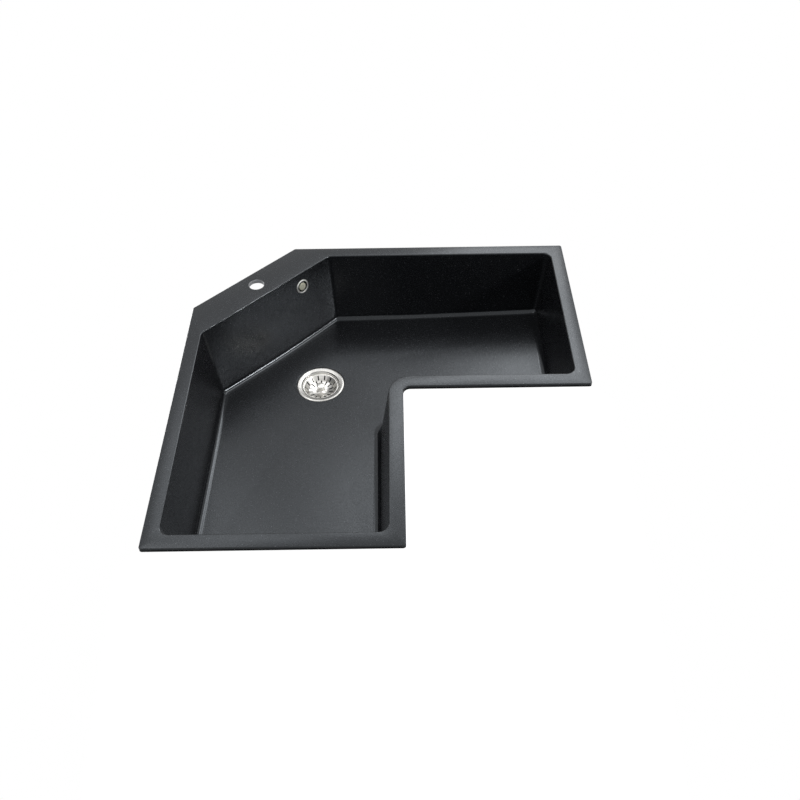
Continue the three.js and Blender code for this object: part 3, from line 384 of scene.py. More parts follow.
def spread(piece, places):
    """A copy of a piece in each place, as one piece. The first one is thrown away."""
    copies = united([copied(piece, "copies", place) for place in places])
    bpy.data.objects.remove(piece)
    return copies


def block(size, middle):
    """A box by its size and its middle, in millimetres."""
    bpy.ops.mesh.primitive_cube_add(size=1, location=[v * MM for v in middle])
    piece = bpy.context.object
    piece.scale = [v * MM for v in size]
    bpy.ops.object.transform_apply(location=True, scale=True)
    return piece


def carved(piece, tool, operation="DIFFERENCE"):
    """Cuts a tool out of a piece, or with UNION melts it on, and throws the tool away."""
    applied(piece, "BOOLEAN", object=tool, operation=operation, solver="EXACT")
    bpy.data.objects.remove(tool)
    return piece


def cleaned(piece):
    """Merges the slivers that several cuts through one edge leave."""
    editing(piece)
    bpy.ops.mesh.remove_doubles(threshold=0.01 * MM)
    bpy.ops.mesh.dissolve_degenerate(threshold=0.01 * MM)
    bpy.ops.mesh.normals_make_consistent(inside=False)
    bpy.ops.object.mode_set(mode="OBJECT")


def turned(name, outline, steps=64, about=2 * math.pi):
    """A piece spun about the Z axis from a closed outline of radius and height, in millimetres.

    A turn about the axis that isn't whole leaves two ends, which are filled.
    """
    bpy.ops.object.select_all(action="DESELECT")
    bpy.ops.mesh.primitive_plane_add(size=MM)
    piece = bpy.context.object
    piece.name = piece.data.name = name
    bpy.ops.object.mode_set(mode="EDIT")
    bpy.ops.mesh.merge(type="CENTER")
    bpy.ops.transform.translate(value=(outline[0][0] * MM, 0, outline[0][1] * MM))
    for (r0, z0), (r1, z1) in zip(outline, list(outline[1:]) + [outline[0]]):
        bpy.ops.mesh.extrude_region_move(
            TRANSFORM_OT_translate={"value": ((r1 - r0) * MM, 0, (z1 - z0) * MM)}
        )
    bpy.ops.mesh.select_all(action="SELECT")
    bpy.ops.mesh.spin(steps=steps, angle=about, center=(0, 0, 0), axis=(0, 0, 1))
    bpy.ops.mesh.select_all(action="SELECT")
    bpy.ops.mesh.remove_doubles(threshold=1e-6)
    bpy.ops.mesh.delete_loose()
    bpy.ops.mesh.select_all(action="SELECT")
    if about < 2 * math.pi:
        bpy.ops.mesh.fill_holes(sides=0)
        bpy.ops.mesh.select_all(action="SELECT")
    bpy.ops.mesh.normals_make_consistent(inside=False)
    bpy.ops.object.mode_set(mode="OBJECT")
    return piece


INSIDE, PAINTED_SHADE_EDGE, OUTSIDE, DRILLED = range(4)  # the granite looks, by their slots
count = len(edge)
bowl = skinned("granite_bowl", [placed(*p) for ring in rings for p in ring], count)
# The two lowest bands of the rim's outer side take the shade-painted edge look.
looks = [PAINTED_SHADE_EDGE] * 2 + [INSIDE] * (inside_rings - 2) + [OUTSIDE] * (len(rings) - inside_rings)
bowl.data.polygons.foreach_set("material_index", [look for look in looks for _ in range(count)])
# The mould's tight curves, at the mouth and round the floor, come out glossier than its flats.
curves = [
    float(mouth_start < j < wall_start - 1 or hollow_start < j < floor_start - 1) for j in range(len(rings))
]
stored(bowl, "curve", [bend for bend in curves for _ in range(count)])

LUG_WIDE = 20
LUG_TALL = 30
LUG_INSET = 12.5
LUG_ROOT = RIM_WIDTH - WALL / 2
SCREW_INSET = 18.5
INSERT_R = 3.8
CLAMP_STATIONS = [(0, 0.5), (1, 0.45), (2, 0.55), (3, 0.5), (4, 0.3), (4, 0.74), (6, 0.24), (6, 0.74)]


def on_side(index, share):
    """The place of a piece that is drawn with X along a side of the plan and Y into the bowl."""
    start, run, inward = plan_side(index)
    p = start + run * (CORNERS[(index + 1) % 7] - start).length * share
    o = placed(p.x, p.y, 0)
    return Matrix(((run.x, inward.x, 0, o.x), (run.y, inward.y, 0, o.y), (0, 0, 1, o.z), (0, 0, 0, 1)))


LUG_SUNK = 4  # into the rim
lug = block(
    (LUG_WIDE, LUG_ROOT - LUG_INSET, LUG_SUNK + LUG_TALL),
    (0, (LUG_INSET + LUG_ROOT) / 2, (LUG_SUNK - LUG_TALL) / 2),
)
applied(lug, "BEVEL", width=1.6 * MM, segments=3, limit_method="ANGLE")


def looks_kept(piece):
    """Room for the four granite looks, so that a cut or a union keeps each face's own."""
    for _ in range(4):
        piece.data.materials.append(None)


def painted(piece, look):
    """Gives all of a piece's faces one of the granite looks."""
    looks_kept(piece)
    piece.data.polygons.foreach_set("material_index", [look] * len(piece.data.polygons))


looks_kept(bowl)
painted(lug, OUTSIDE)
socket_top = 12.3 - LUG_TALL
socket_outline = [(0, -31), (4.6, -31), (4.1, -29.5), (4.1, socket_top), (2.3, socket_top), (2.3, -14)]
socket = turned("socket", socket_outline + [(0, -13)], steps=24)
fixed(socket, Matrix.Translation((0, SCREW_INSET * MM, 0)))
places = [on_side(*station) for station in CLAMP_STATIONS]
carved(bowl, spread(lug, places), "UNION")
carved(bowl, spread(socket, places))

tap = DECK_MIDDLE + INWARD * TAP_HOLE_SETBACK
tap_outline = [(0, -4), (TAP_HOLE_R + 0.9, -4), (TAP_HOLE_R + 0.9, -0.3), (TAP_HOLE_R, 0.6)]
tap_outline += [(TAP_HOLE_R, 9.4), (TAP_HOLE_R + 0.8, 10.2), (TAP_HOLE_R + 0.8, 12), (0, 12)]
tap_hole = fixed(turned("tap_hole", tap_outline, 96), Matrix.Translation(placed(tap.x, tap.y, 0)))
painted(tap_hole, DRILLED)
carved(bowl, tap_hole)

overflow_middle = DECK_MIDDLE + INWARD * (DECK_WIDTH + DRAFT * OVERFLOW_DROP) + ALONG * OVERFLOW_SIDE
across_deck = Vector((ALONG.x, ALONG.y, 0))
off_wall = Vector((INWARD.x, INWARD.y, DRAFT)).normalized()
up_wall = off_wall.cross(across_deck)
overflow_place = Matrix((across_deck, up_wall, off_wall)).transposed().to_4x4()
overflow_place.translation = placed(overflow_middle.x, overflow_middle.y, RIM_TOP - OVERFLOW_DROP)
bore_outline = [(0, -18), (OVERFLOW_BORE_R, -18), (OVERFLOW_BORE_R, -0.5), (OVERFLOW_BORE_R + 0.7, 0.2)]
bore_outline += [(OVERFLOW_BORE_R + 0.7, 6), (0, 6)]
overflow_bore = fixed(turned("overflow_bore", bore_outline, 64), overflow_place)
painted(overflow_bore, DRILLED)
carved(bowl, overflow_bore)

alone(bowl)
bpy.ops.object.shade_smooth_by_angle(angle=math.radians(33))
parts = [polygon.material_index for polygon in bowl.data.polygons]


def mark_wear_and_highlight_edges(piece, narrow=1.2):
    """Marks the narrow faces that round the outer edges, where handling polishes them, and where the
    granite's paler colour is partly a painted highlight.
    """
    shape = bmesh.new()
    shape.from_mesh(piece.data)
    marks = []
    for face in shape.faces:
        turns = [max(e.calc_face_angle_signed(0), 0) for e in face.edges if len(e.link_faces) == 2]
        width = face.calc_area() / max(e.calc_length() for e in face.edges)
        marks.append(min(sum(turns) / math.radians(30), 1) if width < narrow * MM else 0)
    shape.free()
    stored(piece, "edge", marks, "FACE")


mark_wear_and_highlight_edges(bowl)


def add(tree, kind, inputs=None, **settings):
    """Adds a node. Its inputs are given as plain values or as the outputs that feed them."""
    made = tree.nodes.new(kind)
    for key, value in settings.items():
        setattr(made, key, value)
    for key, value in (inputs or {}).items():
        if isinstance(value, bpy.types.NodeSocket):
            tree.links.new(value, made.inputs[key])
        else:
            made.inputs[key].default_value = value
    return made


def math_of(tree, operation, a, b=0.0):
    """The result of an operation on one or two values."""
    return add(tree, "ShaderNodeMath", {0: a, 1: b}, operation=operation).outputs[0]


def ranged(tree, value, low, high, to_low, to_high):
    """Stretches a value from one range to another, and holds it there."""
    span = {0: value, 1: low, 2: high, 3: to_low, 4: to_high}
    return add(tree, "ShaderNodeMapRange", span).outputs[0]


def mixed(tree, share, first, second):
    """A colour between two colours."""
    made = add(tree, "ShaderNodeMix", data_type="RGBA")
    for socket, value in ((made.inputs[0], share), (made.inputs[6], first), (made.inputs[7], second)):
        if isinstance(value, bpy.types.NodeSocket):
            tree.links.new(value, socket)
        else:
            socket.default_value = value if socket.type == "VALUE" else (*value, 1)
    return made.outputs[2]


def effect(name, inputs, outputs):
    """An empty node group with named inputs and outputs, each given with its socket's type."""
    tree = bpy.data.node_groups.new(name, "ShaderNodeTree")
    for side, sockets in (("INPUT", inputs), ("OUTPUT", outputs)):
        for label, kind in sockets.items():
            tree.interface.new_socket(label, in_out=side, socket_type=f"NodeSocket{kind}")
    return tree, tree.nodes.new("NodeGroupInput").outputs, tree.nodes.new("NodeGroupOutput").inputs


def use(tree, group, inputs=None):
    """Places an effect in a material and gives its outputs."""
    return add(tree, "ShaderNodeGroup", inputs, node_tree=group).outputs


def raised(tree, height, depth):
    """Raises a material's surface by a height, in metres at its full depth."""
    relief = add(tree, "ShaderNodeBump", {"Height": height, "Distance": depth, "Strength": 0.5})
    tree.links.new(relief.outputs[0], tree.nodes["Principled BSDF"].inputs["Normal"])


def material(name, **constants):
    """A new material with its constant values set on its shader."""
    made = bpy.data.materials.new(name)
    made.use_nodes = True
    shader = made.node_tree.nodes["Principled BSDF"]
    for label, value in constants.items():
        shader.inputs[label.replace("_", " ")].default_value = value
    return made, made.node_tree, shader.inputs


# Slow, cloudy change over a surface.
mottle, given, result = effect(
    "mottle", {"Vector": "Vector", "Scale": "Float", "Low": "Float", "High": "Float"}, {"Value": "Float"}
)
cloud = add(mottle, "ShaderNodeTexNoise", {"Vector": given["Vector"], "Scale": given["Scale"], "Detail": 4.0})
span = {0: cloud.outputs["Fac"], 1: 0.34, 2: 0.66, 3: given["Low"], 4: given["High"]}
mottle.links.new(add(mottle, "ShaderNodeMapRange", span).outputs[0], result["Value"])

# Edges that wear, and on the granite a painted highlight: the marked faces, patchy.
wear_and_highlight_edges, given, result = effect("edge_wear_and_highlight", {"Vector": "Vector"}, {"Mask": "Float"})
marked = add(wear_and_highlight_edges, "ShaderNodeAttribute", attribute_name="edge").outputs["Fac"]
patches = use(wear_and_highlight_edges, mottle, {"Vector": given["Vector"], "Scale": 160.0, "Low": 0.35, "High": 1.0})
wear_and_highlight_edges.links.new(math_of(wear_and_highlight_edges, "MULTIPLY", marked, patches["Value"]), result["Mask"])

# Sand grains set in resin: most are black, some grey, and a few are pale flakes.
sand, given, result = effect(
    "sand_in_resin",
    {"Vector": "Vector", "Dark": "Color", "Grey": "Color", "Pale": "Color", "Flakes": "Float"},
    {"Color": "Color", "Height": "Float"},
)
grains = add(sand, "ShaderNodeTexVoronoi", {"Vector": given["Vector"], "Scale": 1500.0})
shade = add(sand, "ShaderNodeSeparateColor", {0: grains.outputs["Color"]})
flakes = add(sand, "ShaderNodeTexVoronoi", {"Vector": given["Vector"], "Scale": 760.0})
lot = add(sand, "ShaderNodeSeparateColor", {0: flakes.outputs["Color"]})
greyness = math_of(sand, "POWER", shade.outputs[0], 2.4)
ground = mixed(sand, greyness, given["Dark"], given["Grey"])
limit = math_of(sand, "SUBTRACT", 1.0, given["Flakes"])
is_flake = math_of(sand, "GREATER_THAN", lot.outputs[0], limit)
inside_flake = math_of(sand, "LESS_THAN", flakes.outputs["Distance"], 0.42)
flake = math_of(sand, "MULTIPLY", is_flake, inside_flake)
flake_tone = math_of(sand, "MULTIPLY", flake, ranged(sand, lot.outputs[1], 0.0, 1.0, 0.25, 1.0))
sand.links.new(mixed(sand, flake_tone, ground, given["Pale"]), result["Color"])
stand = math_of(sand, "MULTIPLY", shade.outputs[1], 0.6)
sand.links.new(math_of(sand, "ADD", stand, flake), result["Height"])


def granite_look(name, dark, grey, pale, flakes, smooth, rough, dust, depth, **constants):
    """Sand in resin with cloudy gloss, from smooth to rough, under some grey dust."""
    made, tree, shader = material(name, IOR=1.5, Specular_Tint=(0.88, 0.94, 1, 1), **constants)
    where = add(tree, "ShaderNodeTexCoord").outputs["Object"]
    tones = {"Dark": (*dark, 1), "Grey": (*grey, 1), "Pale": (*pale, 1)}
    grain = use(tree, sand, {"Vector": where, "Flakes": flakes, **tones})
    dusty = use(tree, mottle, {"Vector": where, "Scale": 14.0, "Low": 0.0, "High": dust})
    ground = mixed(tree, dusty["Value"], grain["Color"], (0.03, 0.031, 0.033))
    edges = use(tree, wear_and_highlight_edges, {"Vector": where})
    # The marked edges are painted paler: partly wear, partly a painted highlight for the bright line along
    # the rim's and mouth's rounded edges.
    wear_and_highlight_share = math_of(tree, "MULTIPLY", edges["Mask"], 0.22)
    tree.links.new(mixed(tree, wear_and_highlight_share, ground, (0.08, 0.082, 0.086)), shader["Base Color"])
    wide = use(tree, mottle, {"Vector": where, "Scale": 9.0, "Low": -0.015, "High": 0.015})
    fine = use(tree, mottle, {"Vector": where, "Scale": 420.0, "Low": smooth, "High": rough})
    gloss = math_of(tree, "ADD", wide["Value"], fine["Value"])
    gloss = math_of(tree, "SUBTRACT", gloss, math_of(tree, "MULTIPLY", edges["Mask"], 0.07))
    curve = add(tree, "ShaderNodeAttribute", attribute_name="curve").outputs["Fac"]
    gloss = math_of(tree, "SUBTRACT", gloss, math_of(tree, "MULTIPLY", curve, 0.1))
    tree.links.new(math_of(tree, "MAXIMUM", gloss, 0.12), shader["Roughness"])
    ripple = add(tree, "ShaderNodeTexNoise", {"Vector": where, "Scale": 900.0, "Detail": 3.0})
    grit = math_of(tree, "MULTIPLY", grain["Height"], 0.5)
    raised(tree, math_of(tree, "ADD", grit, ripple.outputs["Fac"]), depth)
    return made


black, grey = (0.0035, 0.0038, 0.0044), (0.020, 0.021, 0.0235)
granite_looks = [
    granite_look(
        "polished_granite", black, grey, pale=(0.18, 0.185, 0.2), flakes=0.028,
        smooth=0.21, rough=0.29, dust=0, depth=0.00003, Specular_IOR_Level=0.44,
    ),
    # The foot of the rim's outer side: rough as a raw edge, with darker, rarer flakes and its reflection
    # nearly taken away, which paints the shade on that side.
    granite_look(
        "granite_edge_painted_shade", black, grey, pale=(0.1, 0.1, 0.1), flakes=0.01,
        smooth=0.7, rough=0.85, dust=0, depth=0.00006, Specular_IOR_Level=0.04,
    ),
    granite_look(
        "granite_back", (0.008, 0.0085, 0.009), (0.034, 0.035, 0.037), pale=(0.16, 0.16, 0.165), flakes=0.03,
        smooth=0.55, rough=0.72, dust=0.35, depth=0.0002, Specular_IOR_Level=0.3,
    ),
    granite_look(
        "drilled_granite", (0.35, 0.35, 0.36), (0.66, 0.66, 0.67), pale=(0.9, 0.9, 0.9), flakes=0.2,
        smooth=0.5, rough=0.7, dust=0, depth=0.0001, Specular_IOR_Level=0.4,
    ),
]
bowl.data.materials.clear()
for look in granite_looks:
    bowl.data.materials.append(look)
bowl.data.polygons.foreach_set("material_index", parts)


def stands_for(piece, body, node):
    """Lets a piece ride on a body in the place of a solid, whose own mesh is hidden."""
    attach(piece, body)
    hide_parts(node)


stands_for(bowl, "sink", "sink_bowl")

# ---------------------------------------------------------------- strainer flange and cup
# The waste's flange and cup are one pressing of stainless steel, brushed on a lathe. The cup hangs in
# the bowl's floor, and a screw through its foot pulls the drain body up from below.

FLANGE_TOP = FLOOR_APEX + FLOOR_FALL * FLANGE_R - GAP
SHEET = 1.2
CUP_DEPTH = 38
CUP_STEP = 8.5
CUP_FLOOR = FLANGE_TOP - CUP_DEPTH + SHEET
SCREW_HOLE_R = 3.3
FOOT_SLOTS = 4


def softened(corners, steps=5):
    """An outline with rounded corners. A corner is radius, height and, where it is rounded, its bend."""
    line = []
    for i, (r, z, *bend) in enumerate(corners):
        here = Vector((r, z))
        if not bend or i in (0, len(corners) - 1):
            line.append(here)
            continue
        back = (Vector(corners[i - 1][:2]) - here).normalized()
        on = (Vector(corners[i + 1][:2]) - here).normalized()
        half = back.angle(on) / 2
        reach = bend[0] / math.tan(half)
        middle = here + (back + on).normalized() * bend[0] / math.sin(half)
        spoke = here + back * reach - middle
        turn = spoke.angle_signed(here + on * reach - middle)
        for k in range(steps + 1):
            c, s = math.cos(-turn * k / steps), math.sin(-turn * k / steps)
            line.append(middle + Vector((spoke.x * c - spoke.y * s, spoke.x * s + spoke.y * c)))
    return line


def pressed(line, thick, nose_steps=6):
    """The closed outline of pressed sheet. The line is its upper face, from its round edge inwards."""
    under = []
    for i, p in enumerate(line):
        run = (line[min(i + 1, len(line) - 1)] - line[max(i - 1, 0)]).normalized()
        under.append(p + Vector((-run.y, run.x)) * thick)
    middle, spoke = (line[0] + under[0]) / 2, (under[0] - line[0]) / 2
    nose = []
    for k in range(1, nose_steps):
        t = math.pi * k / nose_steps
        nose.append(middle + spoke * math.cos(t) + Vector((-spoke.y, spoke.x)) * math.sin(t))
    return line + under[::-1] + nose


def lined(piece, line):
    """Stores how far each point lies along the piece's outline, for the marks that brushing leaves."""
    lengths = [0.0]
    for a, b in zip(line, line[1:]):
        lengths.append(lengths[-1] + (b - a).length)
    across = []
    for v in piece.data.vertices:
        p = Vector((math.hypot(v.co.x, v.co.y), v.co.z)) / MM
        best = (1e9, 0)
        for a, b, before in zip(line, line[1:], lengths):
            run = b - a
            share = min(max((p - a).dot(run) / run.length_squared, 0), 1)
            best = min(best, ((a + run * share - p).length, before + run.length * share))
        across.append(best[1] * MM)
    stored(piece, "across", across)


cup_face = softened([
    (55.4, FLANGE_TOP - 0.5), (52.6, FLANGE_TOP, 5), (44.6, FLANGE_TOP - 1.1, 1.2),
    (42.8, FLANGE_TOP - 3.6, 1), (42.6, FLANGE_TOP - CUP_STEP, 0.8),
    (40, FLANGE_TOP - CUP_STEP, 1.5), (33, CUP_FLOOR, 4), (SCREW_HOLE_R, CUP_FLOOR),
])
cup = turned("flange_and_cup", pressed(cup_face, SHEET), steps=96)
slot_outline = [(11, CUP_FLOOR - 3), (21, CUP_FLOOR - 3), (21, CUP_FLOOR + 3), (11, CUP_FLOOR + 3)]
foot_slot = turned("foot_slot", slot_outline, steps=16, about=1.15)
slots = [Matrix.Rotation(math.radians(360 / FOOT_SLOTS * i), 4, "Z") for i in range(FOOT_SLOTS)]
carved(cup, spread(foot_slot, slots))
lined(cup, cup_face)
mark_wear_and_highlight_edges(cup)

# Fine parallel lines left by brushing, broken up along their length.
brushed, given, result = effect(
    "brushed_lines", {"Vector": "Vector", "Across": "Float"}, {"Streak": "Float", "Height": "Float"}
)
slow = add(brushed, "ShaderNodeVectorMath", {0: given["Vector"], "Scale": 30.0}, operation="SCALE")
tracks = []
for fineness in (5200.0, 850.0, 330.0):
    w = math_of(brushed, "MULTIPLY", given["Across"], fineness)
    track = {"Vector": slow.outputs[0], "W": w, "Scale": 1.0, "Detail": 2.0}
    tracks.append(add(brushed, "ShaderNodeTexNoise", track, noise_dimensions="4D").outputs["Fac"])
total = math_of(brushed, "ADD", math_of(brushed, "ADD", tracks[0], tracks[1]), tracks[2])
brushed.links.new(ranged(brushed, total, 1.2, 1.8, 0.0, 1.0), result["Streak"])
brushed.links.new(tracks[0], result["Height"])


def brushed_metal(name, dull, bright, smooth, rough, relief_depth, **constants):
    """Metal with brushed lines between two tones and two roughnesses, and rubbed edges."""
    made, tree, shader = material(name, Metallic=1.0, **constants)
    where = add(tree, "ShaderNodeTexCoord").outputs["Object"]
    across = add(tree, "ShaderNodeAttribute", attribute_name="across").outputs["Fac"]
    lines = use(tree, brushed, {"Vector": where, "Across": across})
    edges = use(tree, wear_and_highlight_edges, {"Vector": where})
    tone = math_of(tree, "MAXIMUM", lines["Streak"], edges["Mask"])
    tree.links.new(mixed(tree, tone, dull, bright), shader["Base Color"])
    stains = use(tree, mottle, {"Vector": where, "Scale": 55.0, "Low": -0.03, "High": 0.03})
    gloss = ranged(tree, lines["Streak"], 0.0, 1.0, rough, smooth)
    gloss = math_of(tree, "ADD", gloss, stains["Value"])
    gloss = math_of(tree, "SUBTRACT", gloss, math_of(tree, "MULTIPLY", edges["Mask"], 0.05))
    tree.links.new(gloss, shader["Roughness"])
    raised(tree, lines["Height"], relief_depth)
    return made


flange_steel = brushed_metal("flange_steel", (0.3, 0.295, 0.28), (0.56, 0.55, 0.53), 0.24, 0.36, 0.00003)
steel = brushed_metal("brushed_steel", (0.56, 0.55, 0.525), (0.86, 0.845, 0.815), 0.26, 0.4, 0.00002)
# A near-black steel that paints shade: the faces deep in the waste and inside the overflow's hole.
painted_shade_steel = brushed_metal("painted_shade_steel", (0.03, 0.03, 0.029), (0.07, 0.069, 0.066), 0.5, 0.65, 0.00002)


def dressed(piece, look, smooth_below=35):
    """Gives a piece its material, and smooth shading where it bends by less than an angle."""
    alone(piece)
    bpy.ops.object.shade_smooth_by_angle(angle=math.radians(smooth_below))
    piece.data.materials.clear()
    piece.data.materials.append(look)


def finished(piece, place, look, body, node):
    """Wears and dresses a piece, sets it in its place and lets it stand for its solid."""
    mark_wear_and_highlight_edges(piece)
    dressed(fixed(piece, place), look)
    stands_for(piece, body, node)


waste_place = Matrix.Translation(placed(DRAIN.x, DRAIN.y, 0))
dressed(fixed(cup, waste_place), flange_steel)
# Below its step the cup is painted near-black, a painted shade for the deep waste seen through the basket's
# slots.
cup.data.materials.append(painted_shade_steel)
for polygon in cup.data.polygons:
    polygon.material_index = int(polygon.center.z < (FLANGE_TOP - CUP_STEP - 0.4) * MM)
stands_for(cup, "sink", "strainer_cup")

# ---------------------------------------------------------------- waste gaskets
# Rubber rings above and below the bowl's floor make the waste tight. They are cut from moulded rubber
# and squeezed by the screw.

PAD_UNDER = FLOOR_APEX - PAD_DROP
GASKET_TOP = FLANGE_TOP - SHEET - GAP

# The fine skin that a mould leaves.
moulded, given, result = effect("moulded_skin", {"Vector": "Vector", "Scale": "Float"}, {"Height": "Float"})
skin = {"Vector": given["Vector"], "Scale": given["Scale"], "Detail": 5.0, "Roughness": 0.6}
moulded.links.new(add(moulded, "ShaderNodeTexNoise", skin).outputs["Fac"], result["Height"])


def moulded_look(name, colour, worn_colour, smooth, rough, grain_scale, relief_depth, **constants):
    """A moulded material: cloudy gloss, a fine skin and lighter rubbed edges."""
    made, tree, shader = material(name, **constants)
    where = add(tree, "ShaderNodeTexCoord").outputs["Object"]
    clouds = use(tree, mottle, {"Vector": where, "Scale": 38.0, "Low": 0.0, "High": 0.22})
    edges = use(tree, wear_and_highlight_edges, {"Vector": where})
    tone = math_of(tree, "MAXIMUM", clouds["Value"], math_of(tree, "MULTIPLY", edges["Mask"], 0.7))
    tree.links.new(mixed(tree, tone, colour, worn_colour), shader["Base Color"])
    gloss = use(tree, mottle, {"Vector": where, "Scale": 90.0, "Low": smooth, "High": rough})
    tree.links.new(gloss["Value"], shader["Roughness"])
    surface = use(tree, moulded, {"Vector": where, "Scale": grain_scale})
    raised(tree, surface["Height"], relief_depth)
    return made


rubber = moulded_look("rubber", (0.012, 0.012, 0.0125), (0.05, 0.05, 0.052), 0.55, 0.75, 1400.0, 0.00006)


def ring_outline(bore, radius, low, high, soft):
    """The outline of a flat ring with rounded edges."""
    foot = ((bore + radius) / 2, low)
    outer, inner = [(radius, low, soft), (radius, high, soft)], [(bore, high, soft), (bore, low, soft)]
    return softened([foot, *outer, *inner, foot], 3)[:-1]


for node, outline in (
    ("flange_gasket", ring_outline(50.7, 55.7, GASKET_TOP - 1.5, GASKET_TOP, 0.4)),
    ("lower_gasket", ring_outline(46.8, 60, PAD_UNDER - 3.3, PAD_UNDER - GAP, 0.7)),
):
    gasket = turned(f"{node}_ring", outline, 72)
    finished(gasket, waste_place, rubber, "sink", node)

# ---------------------------------------------------------------- drain body
# Moulded in white polypropylene: a flange below the floor, a chamber that narrows to a threaded outlet,
# a side inlet for the overflow, and a three-armed spider that the cup's screw pulls up.

BODY_TOP = PAD_UNDER - 3.6
BODY_FLANGE_R = 60
BODY_BORE_R = 45
CHAMBER_TALL = 56
CHAMBER_FOOT = BODY_TOP - CHAMBER_TALL
CONE_TOP = BODY_TOP - CHAMBER_TALL * 0.78
OUTLET_R = 23.5
OUTLET_BORE_R = 19
OUTLET_END = CHAMBER_FOOT - 36
PIPE_THREAD_PITCH = 2.31
SPIDER_TOP = FLANGE_TOP - CUP_DEPTH - GAP
INLET_Z = BODY_TOP - 40
INLET_REACH = 66
SPIGOT_R = 13
SPIGOT_BORE_R = 9.5
ELBOW_BACK = WALL + 17.5

elbow_middle = overflow_middle - INWARD * ELBOW_BACK - DRAIN
INLET_TURN = math.atan2(elbow_middle.y, elbow_middle.x)


def ridges(low, stop, pitch, profile):
    """A profile of radius and height that repeats up a shaft, and the height where it ends."""
    line, z = [], low
    while z < stop:
        line += [(r, z + rise) for r, rise in profile]
        z += pitch
    return line, z


def spigot(foot, straight, first_barb, barbs, end):
    """The outline of a pipe end for a hose, straight as far as its barbs."""
    line = [(0, foot), (SPIGOT_R, foot), (SPIGOT_R, straight)]
    for k in range(barbs):
        s = first_barb + k * 3
        line += [(SPIGOT_R - 0.8, s), (SPIGOT_R, s + 0.9), (SPIGOT_R, s + 1.3), (SPIGOT_R - 0.8, s + 2.2)]
    return line + [(SPIGOT_R - 0.8, end - 0.5), (SPIGOT_R - 1.3, end), (0, end)]


def spigot_bore(start, end):
    """The outline of the hole through such a pipe, which widens at its mouth."""
    line = [(0, start), (SPIGOT_BORE_R, start), (SPIGOT_BORE_R, end - 0.6)]
    return line + [(SPIGOT_BORE_R + 1, end + 0.4), (SPIGOT_BORE_R + 1, end + 3), (0, end + 3)]


thread_root = OUTLET_R - 0.9
thread_ridge = [(thread_root, 0), (OUTLET_R, 0.75), (OUTLET_R, 1.05), (thread_root, 1.8)]
thread = ridges(OUTLET_END + 1.5, CHAMBER_FOOT - 6, PIPE_THREAD_PITCH, thread_ridge)[0]
narrow = BODY_BORE_R - 6
outer = [(OUTLET_BORE_R + 0.6, OUTLET_END), (OUTLET_R - 1.4, OUTLET_END), (thread_root, OUTLET_END + 0.6)]
outer += thread + [(OUTLET_R, CHAMBER_FOOT - 4.5)]
upper = softened([
    (OUTLET_R, CHAMBER_FOOT - 4.5), (OUTLET_R, CHAMBER_FOOT, 3), (narrow + 3, CONE_TOP - 3, 6),
    (48, BODY_TOP - 10, 6), (48, BODY_TOP - 5, 1.5), (BODY_FLANGE_R, BODY_TOP - 5, 1),
    (BODY_FLANGE_R, BODY_TOP, 0.8), (BODY_BORE_R, BODY_TOP, 0.6),
    (BODY_BORE_R, BODY_TOP - 10, 5), (narrow, CONE_TOP, 5),
    (OUTLET_BORE_R, CHAMBER_FOOT + 3, 4), (OUTLET_BORE_R, OUTLET_END + 0.6),
], 4)
body = turned("drain_body_moulding", outer + upper[1:], 72)

lying = Matrix.Translation((0, 0, INLET_Z * MM)) @ Matrix.Rotation(INLET_TURN, 4, "Z")
lying = lying @ Matrix.Rotation(math.pi / 2, 4, "Y")
hollow_outline = [(0, CONE_TOP), (narrow - 1, CONE_TOP), (narrow + 1.5, BODY_TOP - 12), (0, BODY_TOP - 12)]
pipe = fixed(turned("pipe", spigot(30, 48, 49, 5, INLET_REACH), 40), lying)
carved(body, carved(pipe, turned("hollow", hollow_outline)), "UNION")
carved(body, fixed(turned("bore", spigot_bore(OUTLET_BORE_R, INLET_REACH), 40), lying))

boss_outline = softened(
    [(3.3, SPIDER_TOP), (3.3, SPIDER_TOP - 14.8), (0, SPIDER_TOP - 14.8), (0, SPIDER_TOP - 16)]
    + [(8, SPIDER_TOP - 16, 1), (8, SPIDER_TOP, 0.6), (3.3, SPIDER_TOP)],
    3,
)
spider = turned("spider", boss_outline[:-1], 32)
arm = block((38.5, 6, 9), (26, 0, SPIDER_TOP - 4.5))
applied(arm, "BEVEL", width=0.8 * MM, segments=2, limit_method="ANGLE")
for i in range(3):
    turn = INLET_TURN + math.radians(120) * (i + 0.5)
    carved(spider, copied(arm, "spider_arm", Matrix.Rotation(turn, 4, "Z")), "UNION")
bpy.data.objects.remove(arm)
carved(body, spider, "UNION")
cleaned(body)

white, chalky = (0.62, 0.625, 0.61), (0.74, 0.74, 0.72)
plastic = moulded_look("white_plastic", white, chalky, 0.34, 0.46, 700.0, 0.00005, Specular_IOR_Level=0.45)
finished(body, waste_place, plastic, "sink", "drain_body")

# ---------------------------------------------------------------- cup screw
# A stainless M6 pan head screw with a cross recess. It stands in the foot of the cup and pulls the
# drain body's spider up.


def drawn_along(piece, axis):
    """Stores each point's place along an axis, for the marks that drawing or turning leaves."""
    stored(piece, "across", [v.co[axis] for v in piece.data.vertices])


